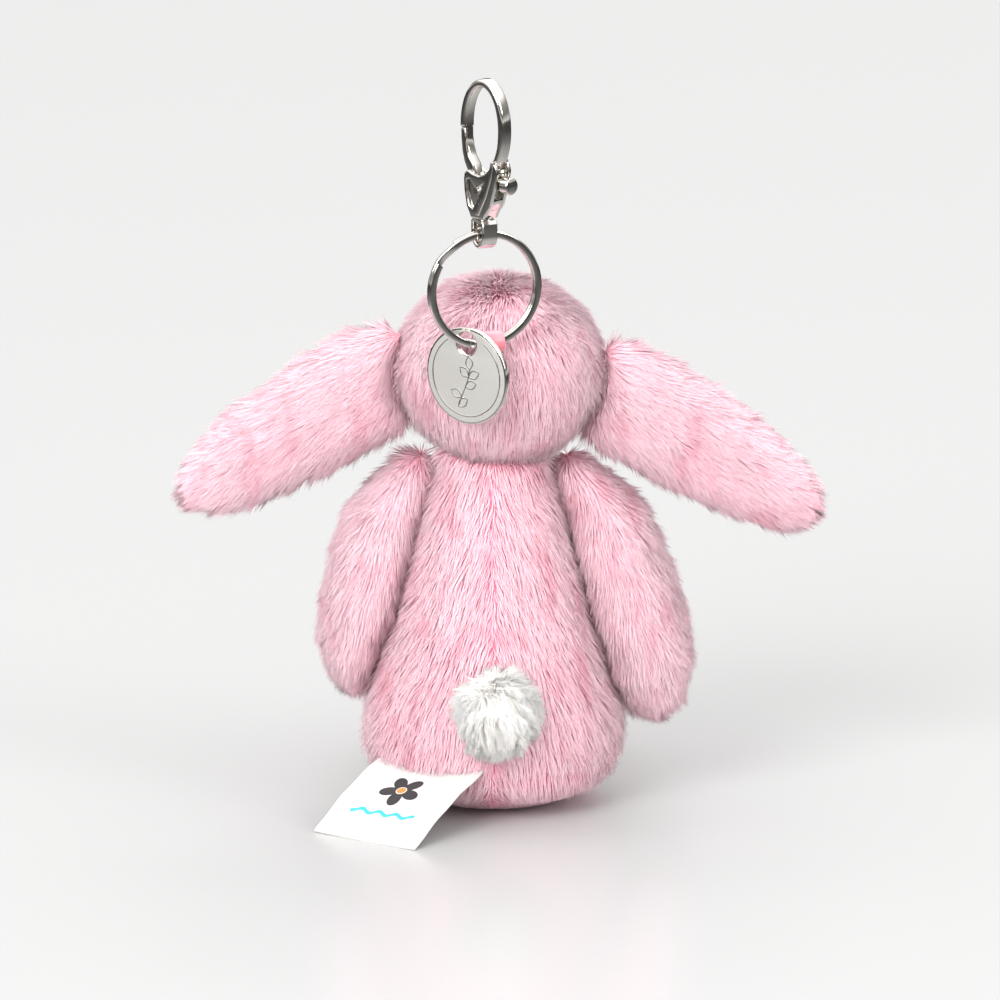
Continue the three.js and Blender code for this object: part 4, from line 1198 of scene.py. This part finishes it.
def stamped_line(points, side, width=0.34, height=0.16):
    """A thin rounded line on the charm's face, through (x, z) points in millimetres."""
    stations = []
    for k, (x, z) in enumerate(points):
        after, before = points[min(k + 1, len(points) - 1)], points[max(k - 1, 0)]
        tangent = Vector((after[0] - before[0], 0, after[1] - before[1])).normalized()
        sideways = tangent.cross(Vector((0, 1, 0)))
        place = Vector((x * MM, side * (DISC_DEPTH / 2 + 0.08) * MM, z * MM))
        stations.append((place, sideways, Vector((0, 1, 0))))
    return sweep(stations, rounded_section(width, height, 0.07, 1))


def leaf_line(base, turn, length):
    """A pointed leaf's outline from its base, turned so many degrees from +x."""
    heading = math.radians(turn)
    points = []
    for k in range(15):
        t = 2 * k / 14
        along = length * (t if t <= 1 else 2 - t)
        across = 0.3 * length * math.sin(math.pi * t)
        points.append((base[0] + along * math.cos(heading) - across * math.sin(heading),
                       base[1] + along * math.sin(heading) + across * math.cos(heading)))
    return points


STEM = [(-2.2, -7.6), (-1.3, -5.2), (-0.2, -2.6), (0.7, -0.2), (1.0, 1.6)]
LEAVES = [(0, 40), (1, 155), (2, 20), (3, 140), (3, 25), (4, 95)]  # where on the stem, and its direction
twig = [STEM, ellipse_arc((0, 0), DISC_RADIUS - 1.9, DISC_RADIUS - 1.9, 122, 418, 60)]
twig += [leaf_line(STEM[k], turn, 3.3) for k, turn in LEAVES]
stamped = joined("disc_stamped_lines", [stamped_line(line, side) for side in (-1, 1) for line in twig],
                 disc_place, bright_nickel)

# %% [markdown]
# ## Ribbon
# The ribbon is double-faced satin, a little over 5 mm wide. It is wrapped round the lowest part of the
# ring, and both of its ends are sewn into the seam at the back of the head. It narrows a little towards
# the seam, where the stitches gather it.

# %% Satin ribbon
def satin_material():
    """Polyester satin: long floats along the ribbon, so it is glossier along than across."""
    finish = {"Roughness": 0.36, "Sheen_Weight": 0.3, "Anisotropic": 0.5}
    material, tree, shader = new_material("coral_satin_ribbon", **finish)
    place = add(tree, "ShaderNodeTexCoord").outputs["Object"]
    threads = add(tree, "ShaderNodeTexWave", {"bands_direction": "Z"}, {"Vector": place, "Scale": 700.0,
                                                                         "Distortion": 0.6})
    bump = add(tree, "ShaderNodeBump", inputs={
        "Strength": 0.2, "Distance": 0.05 * MM, "Height": threads.outputs[1],
    })
    tree.links.new(bump.outputs[0], shader.inputs["Normal"])
    tone = add(tree, "ShaderNodeTexNoise", inputs={"Vector": place, "Scale": 260.0, "Detail": 2.0})
    colours = ramp(tree, tone.outputs[0], [(0.3, "#e86f7e"), (0.7, "#f08d98")])
    tree.links.new(colours, shader.inputs["Base Color"])
    return material


coral_satin = satin_material()
chain_to_world = chain_frame(CHAIN_TURN, 0)
to_chain = chain_to_world.inverted()
ribbon_places = coordinates(frame["nodes"]["ribbon_loop"].data)
ribbon_local = np.array([to_chain @ Vector(p) for p in ribbon_places]) / MM
RIBBON_MIDDLE = (ribbon_local[:, 0].min() + ribbon_local[:, 0].max()) / 2
RIBBON_WIDTH = np.ptp(ribbon_local[:, 0])
ribbon_foot, ribbon_top = ribbon_local[:, 2].min(), ribbon_local[:, 2].max()
WRAP_RADIUS = 2.3
wrap_middle = ribbon_top - WRAP_RADIUS - 0.2
foot_back = ribbon_local[ribbon_local[:, 2] < ribbon_foot + 1.5, 1].mean()
front_ply = [
    (foot_back - 0.35, ribbon_foot),
    (foot_back - 0.8, wrap_middle - 6.5),
    (foot_back - 1.9, wrap_middle - 3.5),
]
back_ply = [(foot_back - 0.2, wrap_middle - 6.5), (foot_back + 0.35, ribbon_foot)]
ribbon_path = front_ply + ellipse_arc((0, wrap_middle), WRAP_RADIUS, WRAP_RADIUS, 200, -20, 22) + back_ply


def smooth_path(points, steps):
    """A Catmull-Rom curve through points."""
    result = []
    for k in range(len(points) - 1):
        p = [Vector(points[min(max(k + d, 0), len(points) - 1)]) for d in (-1, 0, 1, 2)]
        for s in range(steps):
            t = s / steps
            square = 2 * p[0] - 5 * p[1] + 4 * p[2] - p[3]
            cube = 3 * p[1] - p[0] - 3 * p[2] + p[3]
            result.append(0.5 * ((2 * p[1]) + (p[2] - p[0]) * t + square * t * t + cube * t ** 3))
    result.append(Vector(points[-1]))
    return result


path = smooth_path(ribbon_path, 4)
stations = []
for k, point in enumerate(path):
    tangent = (path[min(k + 1, len(path) - 1)] - path[max(k - 1, 0)]).normalized()
    across = Vector((0, tangent.y, -tangent.x))
    fall = min(max((wrap_middle - point.y) / (wrap_middle - ribbon_foot), 0), 1)
    narrow = 1 - 0.28 * fall
    ripple = 0.12 * math.sin(k * 0.7) * fall
    place = Vector((RIBBON_MIDDLE + ripple, point.x, point.y)) * MM
    stations.append((place, across, Vector((narrow, 0, 0))))
ribbon_mesh = sweep(stations, rounded_section(0.42, RIBBON_WIDTH, 0.18, 2))
ribbon = joined("ribbon_band", [ribbon_mesh], chain_to_world, coral_satin, 60)

# %% [markdown]
# ## Face
# The eyes are black glossy beads on a shank, and the nose is worked in satin stitch. Each stitch is one
# thread laid beside the last over a small felt pad, so the nose is a row of small tubes on that pad, with
# a short line of thread below it for the mouth.


# %% Eyes
def bead_material():
    """Moulded acrylic: black, polished, with the faintest waviness in its gloss."""
    material, tree, shader = new_material("black_acrylic_bead", Roughness=0.05, Coat_Weight=0.6, IOR=1.49)
    place = add(tree, "ShaderNodeTexCoord").outputs["Object"]
    tone = add(tree, "ShaderNodeTexNoise", inputs={"Vector": place, "Scale": 400.0})
    colours = ramp(tree, tone.outputs[0], [(0.3, "#0b0808"), (0.7, "#191312")])
    tree.links.new(colours, shader.inputs["Base Color"])
    return material


black_bead = bead_material()
eyes = {}
for side, place in zip(("left", "right"), eye_places):
    outward = (place - Vector((0, 0, head_middle.z))).normalized()
    rises = np.linspace(-0.25, math.pi / 2 - 0.05, 12)
    dome = [(0, -0.8)] + [(2.85 * math.cos(a), 2.5 * math.sin(a)) for a in rises]
    dome.append((0, 2.5))
    bead = lathe(dome, 40)
    turn = UP.rotation_difference(outward).to_matrix().to_4x4()
    reach = max((Vector(p) - place).dot(outward) for p in coordinates(frame["nodes"][f"eye_{side}"].data))
    bead.transform(Matrix.Translation(place + outward * (reach - 2.35 * MM)) @ turn)
    eyes[side] = joined(f"eye_bead_{side}", [bead], Matrix.Identity(4), black_bead)


# %% Stitched nose and mouth
def thread_material(name, colour, deeper):
    """Mercerised embroidery thread: plied, with a soft gloss, and painted shade deeper in the grooves between
    the plies.
    """
    material, tree, shader = new_material(name, Roughness=0.45, Sheen_Weight=0.3)
    place = add(tree, "ShaderNodeTexCoord").outputs["Object"]
    ply = add(tree, "ShaderNodeTexWave", {"bands_direction": "DIAGONAL"}, {"Vector": place, "Scale": 900.0})
    bump = add(tree, "ShaderNodeBump", inputs={
        "Strength": 0.5, "Distance": 0.08 * MM, "Height": ply.outputs[1],
    })
    tree.links.new(bump.outputs[0], shader.inputs["Normal"])
    # painted shade: the colour is deeper where the ply's bump is low, in the grooves between the plies
    tree.links.new(ramp(tree, ply.outputs[1], [(0.2, deeper), (0.8, colour)]), shader.inputs["Base Color"])
    return material


# the second colour is the painted shade in the ply grooves
nose_thread = thread_material("rose_embroidery_thread", "#cf7486", "#a9485e")
head_tree = BVHTree.FromObject(head_skin, bpy.context.evaluated_depsgraph_get())


def on_head(x, z, lift):
    """The place on the front of the head at x and z, lifted off its surface; all in metres."""
    hit, normal, _, _ = head_tree.ray_cast(Vector((x, 80 * MM, z)), Vector((0, -1, 0)))
    return hit + normal * lift, normal


def thread_run(points, radius):
    """One thread over the face through (x, z, lift) points in millimetres."""
    path = [on_head(x * MM, z * MM, lift * MM) for x, z, lift in points]
    stations = []
    for k, (place, normal) in enumerate(path):
        tangent = (path[min(k + 1, len(path) - 1)][0] - path[max(k - 1, 0)][0]).normalized()
        sideways = tangent.cross(normal).normalized()
        stations.append((place, sideways, normal))
    turns = np.linspace(0, 2 * math.pi, 9)[:-1]
    ring_points = [(radius * math.cos(a) * MM, radius * math.sin(a) * MM) for a in turns]
    return sweep(stations, ring_points)


nose_low, nose_high = (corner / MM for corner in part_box("nose"))
nose_threads = []
STITCHES = 17
NOSE_HALF_WIDTH = 3.0
NOSE_HALF_HEIGHT = 2.1
NOSE_LIFT = 1.0  # over the skin at the ends of a stitch
NOSE_CROWN = 0.95  # how much further its middle stands off
LIP_DROP = 3.4  # from the nose down to the mouth
for k in range(STITCHES):
    u = 2 * k / (STITCHES - 1) - 1
    half_height = NOSE_HALF_HEIGHT * (1 - 0.62 * abs(u) ** 1.4)
    middle_z = (nose_low.z + nose_high.z) / 2 + 0.8 * abs(u)
    stitch_x = u * NOSE_HALF_WIDTH + 0.05 * math.sin(3 * k)
    points = [
        (stitch_x, middle_z + half_height * s, NOSE_LIFT + NOSE_CROWN * (1 - s * s) * (1 - 0.5 * u * u))
        for s in np.linspace(-1, 1, 9)
    ]
    nose_threads.append(thread_run(points, 0.27))
nose_bottom = (nose_low.z + nose_high.z) / 2 - 2.0
lip_line = [(0, nose_bottom - LIP_DROP * t, 1.3 - 0.8 * t) for t in np.linspace(0, 1, 6)]
nose_threads.append(thread_run(lip_line, 0.3))
for mirror in (-1, 1):
    smile = [
        (mirror * 3.6 * t, nose_bottom - LIP_DROP - 0.9 * math.sin(2.4 * t), 0.5)
        for t in np.linspace(0, 1, 8)
    ]
    nose_threads.append(thread_run(smile, 0.3))
nose_pad = merged_copy("nose_pad", ["nose"])
nose_pad.transform(Matrix.Translation(nose_place) @ Matrix.Scale(0.85, 4) @ Matrix.Translation(-nose_place))
nose_threads.append(nose_pad)
nose = joined("nose_stitches", nose_threads, Matrix.Identity(4), nose_thread)

# %% [markdown]
# ## Small parts that keep the frame's shape
# The rivet, the gate pin, the spring and the eye washers are already the right shape. They stay, and only
# get their materials. The filling and the pouch cannot be seen; their solids go into the skins and are
# hidden.

# %% Materials for carried-over nodes
kept = {
    "swivel_rivet": bright_nickel, "gate_pin": bright_nickel, "gate_spring": spring_steel,
    "eye_washer_left": plain_tape, "eye_washer_right": plain_tape,
}
for node_name, material in kept.items():
    mesh = frame["nodes"][node_name].data
    mesh.materials.clear()
    mesh.materials.append(material)

# %% [markdown]
# ## What rides on what
# Each new piece but the limbs is told which body carries it, and the frame nodes that a piece stands for
# are hidden. A limb is sewn to the body along a line.


# %% Ride and replace
def stands_for(piece, slot, *nodes):
    """Hides the frame nodes that a piece stands for. piece and slot are not used."""
    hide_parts(*nodes)


plush_nodes = {
    head_skin: ["head_back_left", "head_back_right", "head_face", "head_stuffing"],
    body_skin: ["body_back_left", "body_back_right", "belly", "body_stuffing", "base_panel", "bean_pouch"],
}
for piece, nodes in plush_nodes.items():
    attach(piece, "plush")
    stands_for(piece, "plush", *nodes)
for piece in (head_hair, body_hair):
    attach(piece, "plush")
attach(tail_skin, "plush")
stands_for(tail_skin, "tail", "tail")
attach(tail_hair, "plush")

for side, sign in (("left", -1), ("right", 1)):
    arm, arm_hair = arms[side]
    for piece in (arm, arm_hair):
        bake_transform(piece)
    stands_for(arm, "plush", f"arm_outer_{side}", f"arm_inner_{side}", f"arm_stuffing_{side}")

    ear, ear_hair = ears[side]
    for piece in (ear, ear_hair):
        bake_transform(piece)
    stands_for(ear, "plush", f"ear_back_{side}", f"ear_lining_{side}")

    foot, foot_hair = feet[side]
    for piece in (foot, foot_hair):
        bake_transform(piece)
    stands_for(foot, "plush", f"foot_upper_{side}", f"foot_sole_{side}", f"foot_stuffing_{side}")

for piece, body, slot, nodes in [
    (label_leaf, "label", "label", ["sewn_label"]), (care_leaf, "label", "label", ["care_label"]),
    (ribbon, "ribbon", "ribbon", ["ribbon_loop"]), (ring, "ring", "nickel", ["split_ring"]),
    (swivel, "swivel", "nickel", ["swivel_eye"]), (disc, "disc", "nickel", ["disc_charm"]),
    (hook_body, "hook", "nickel", ["hook_body"]), (gate, "gate", "nickel", ["gate_lever"]),
    (stud, "gate", "nickel", ["thumb_stud"]), (nose, "plush", "thread", ["nose"]),
    (eyes["left"], "plush", "bead", ["eye_left"]), (eyes["right"], "plush", "bead", ["eye_right"]),
]:
    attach(piece, body)
    stands_for(piece, slot, *nodes)
for piece, body in [(disc_face, "disc"), (stamped, "disc"), (stop_knob, "hook")]:
    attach(piece, body)

# %% [markdown]
# ## Floor and light
# The floor is pale and slightly glossy, and the backdrop is as pale. A wide key light and a weaker fill
# shine on the toy's back, a rim light comes from beyond its face, and white walls fill the shadows. A
# mirror in an all-white room looks white, so what the metal reflects is set apart: a room that is darkest
# a little above the table and white overhead, and a painted reflection of the table, a glow that only
# mirror rays see, pale near the toy and dark beyond.

# %% Stage
floor_material, floor_tree, floor_shader = new_material(
    "pale_table_top", Roughness=0.22, Specular_IOR_Level=0.25,
)
floor_shader.inputs["Base Color"].default_value = linear("#b7b7b7")
floor_place = add(floor_tree, "ShaderNodeTexCoord").outputs["Object"]
from_toy = add(floor_tree, "ShaderNodeVectorMath", {"operation": "LENGTH"}, {
    0: floor_place,
}).outputs["Value"]
# painted reflection: mirror rays see the table as a glow, pale near the toy and dark beyond, not as the lit
# table
beyond = ramp(floor_tree, from_toy, [(0.15, "#d0d0d0"), (0.4, "#7c7c7c"), (0.75, "#484746")])
floor_reflection_glow = add(floor_tree, "ShaderNodeEmission", inputs={"Color": beyond, "Strength": 1.0})
mirror_ray = add(floor_tree, "ShaderNodeLightPath").outputs["Is Glossy Ray"]
floor_mix = add(floor_tree, "ShaderNodeMixShader", inputs={0: mirror_ray})
floor_tree.links.new(floor_shader.outputs[0], floor_mix.inputs[1])
floor_tree.links.new(floor_reflection_glow.outputs[0], floor_mix.inputs[2])
floor_output = next(node for node in floor_tree.nodes if node.type == "OUTPUT_MATERIAL")
floor_tree.links.new(floor_mix.outputs[0], floor_output.inputs["Surface"])
floor_mesh = bpy.data.meshes.new("floor")
half = 9.0
floor_corners = [(-half, -half, 0), (half, -half, 0), (half, half, 0), (-half, half, 0)]
floor_mesh.from_pydata(floor_corners, [], [(0, 1, 2, 3)])
floor = link("floor", floor_mesh, floor_material)

world = bpy.data.worlds.new("studio")
bpy.context.scene.world = world
world.use_nodes = True
sky = world.node_tree
background = sky.nodes["Background"]
toward = add(sky, "ShaderNodeSeparateXYZ", inputs={0: add(sky, "ShaderNodeTexCoord").outputs["Generated"]})
height = add(sky, "ShaderNodeMapRange", inputs={
    "Value": toward.outputs["Z"], "From Min": 0.0, "From Max": 1.0,
})
ROOM_TONES = [(0.0, "#c8c6c3"), (0.12, "#5a5957"), (0.34, "#8c8a87"), (0.52, "#ffffff")]
room = ramp(sky, height.outputs[0], ROOM_TONES)
mirror_ray = add(sky, "ShaderNodeLightPath").outputs["Is Glossy Ray"]
walls = add(sky, "ShaderNodeMix", {"data_type": "RGBA"}, {"Factor": mirror_ray})
walls.inputs[6].default_value = linear("#ffffff")
sky.links.new(room, walls.inputs[7])
sky.links.new(walls.outputs[2], background.inputs["Color"])
background.inputs["Strength"].default_value = 1.55


def softbox(name, place, target, size, watts):
    """A square area light that looks at a point."""
    data = bpy.data.lights.new(name, "AREA")
    data.size = size
    data.energy = watts
    light = bpy.data.objects.new(name, data)
    bpy.context.scene.collection.objects.link(light)
    light.location = place
    light.rotation_euler = (Vector(target) - Vector(place)).to_track_quat("-Z", "Y").to_euler()
    return light


softbox("key", (-1.6, -2.6, 1.9), (0, 0, 0.08), 1.8, 95)
softbox("fill", (2.6, -1.6, 1.4), (0, 0, 0.08), 1.2, 30)
softbox("rim", (0.6, 2.6, 2.6), (0, 0, 0.1), 2.0, 40)
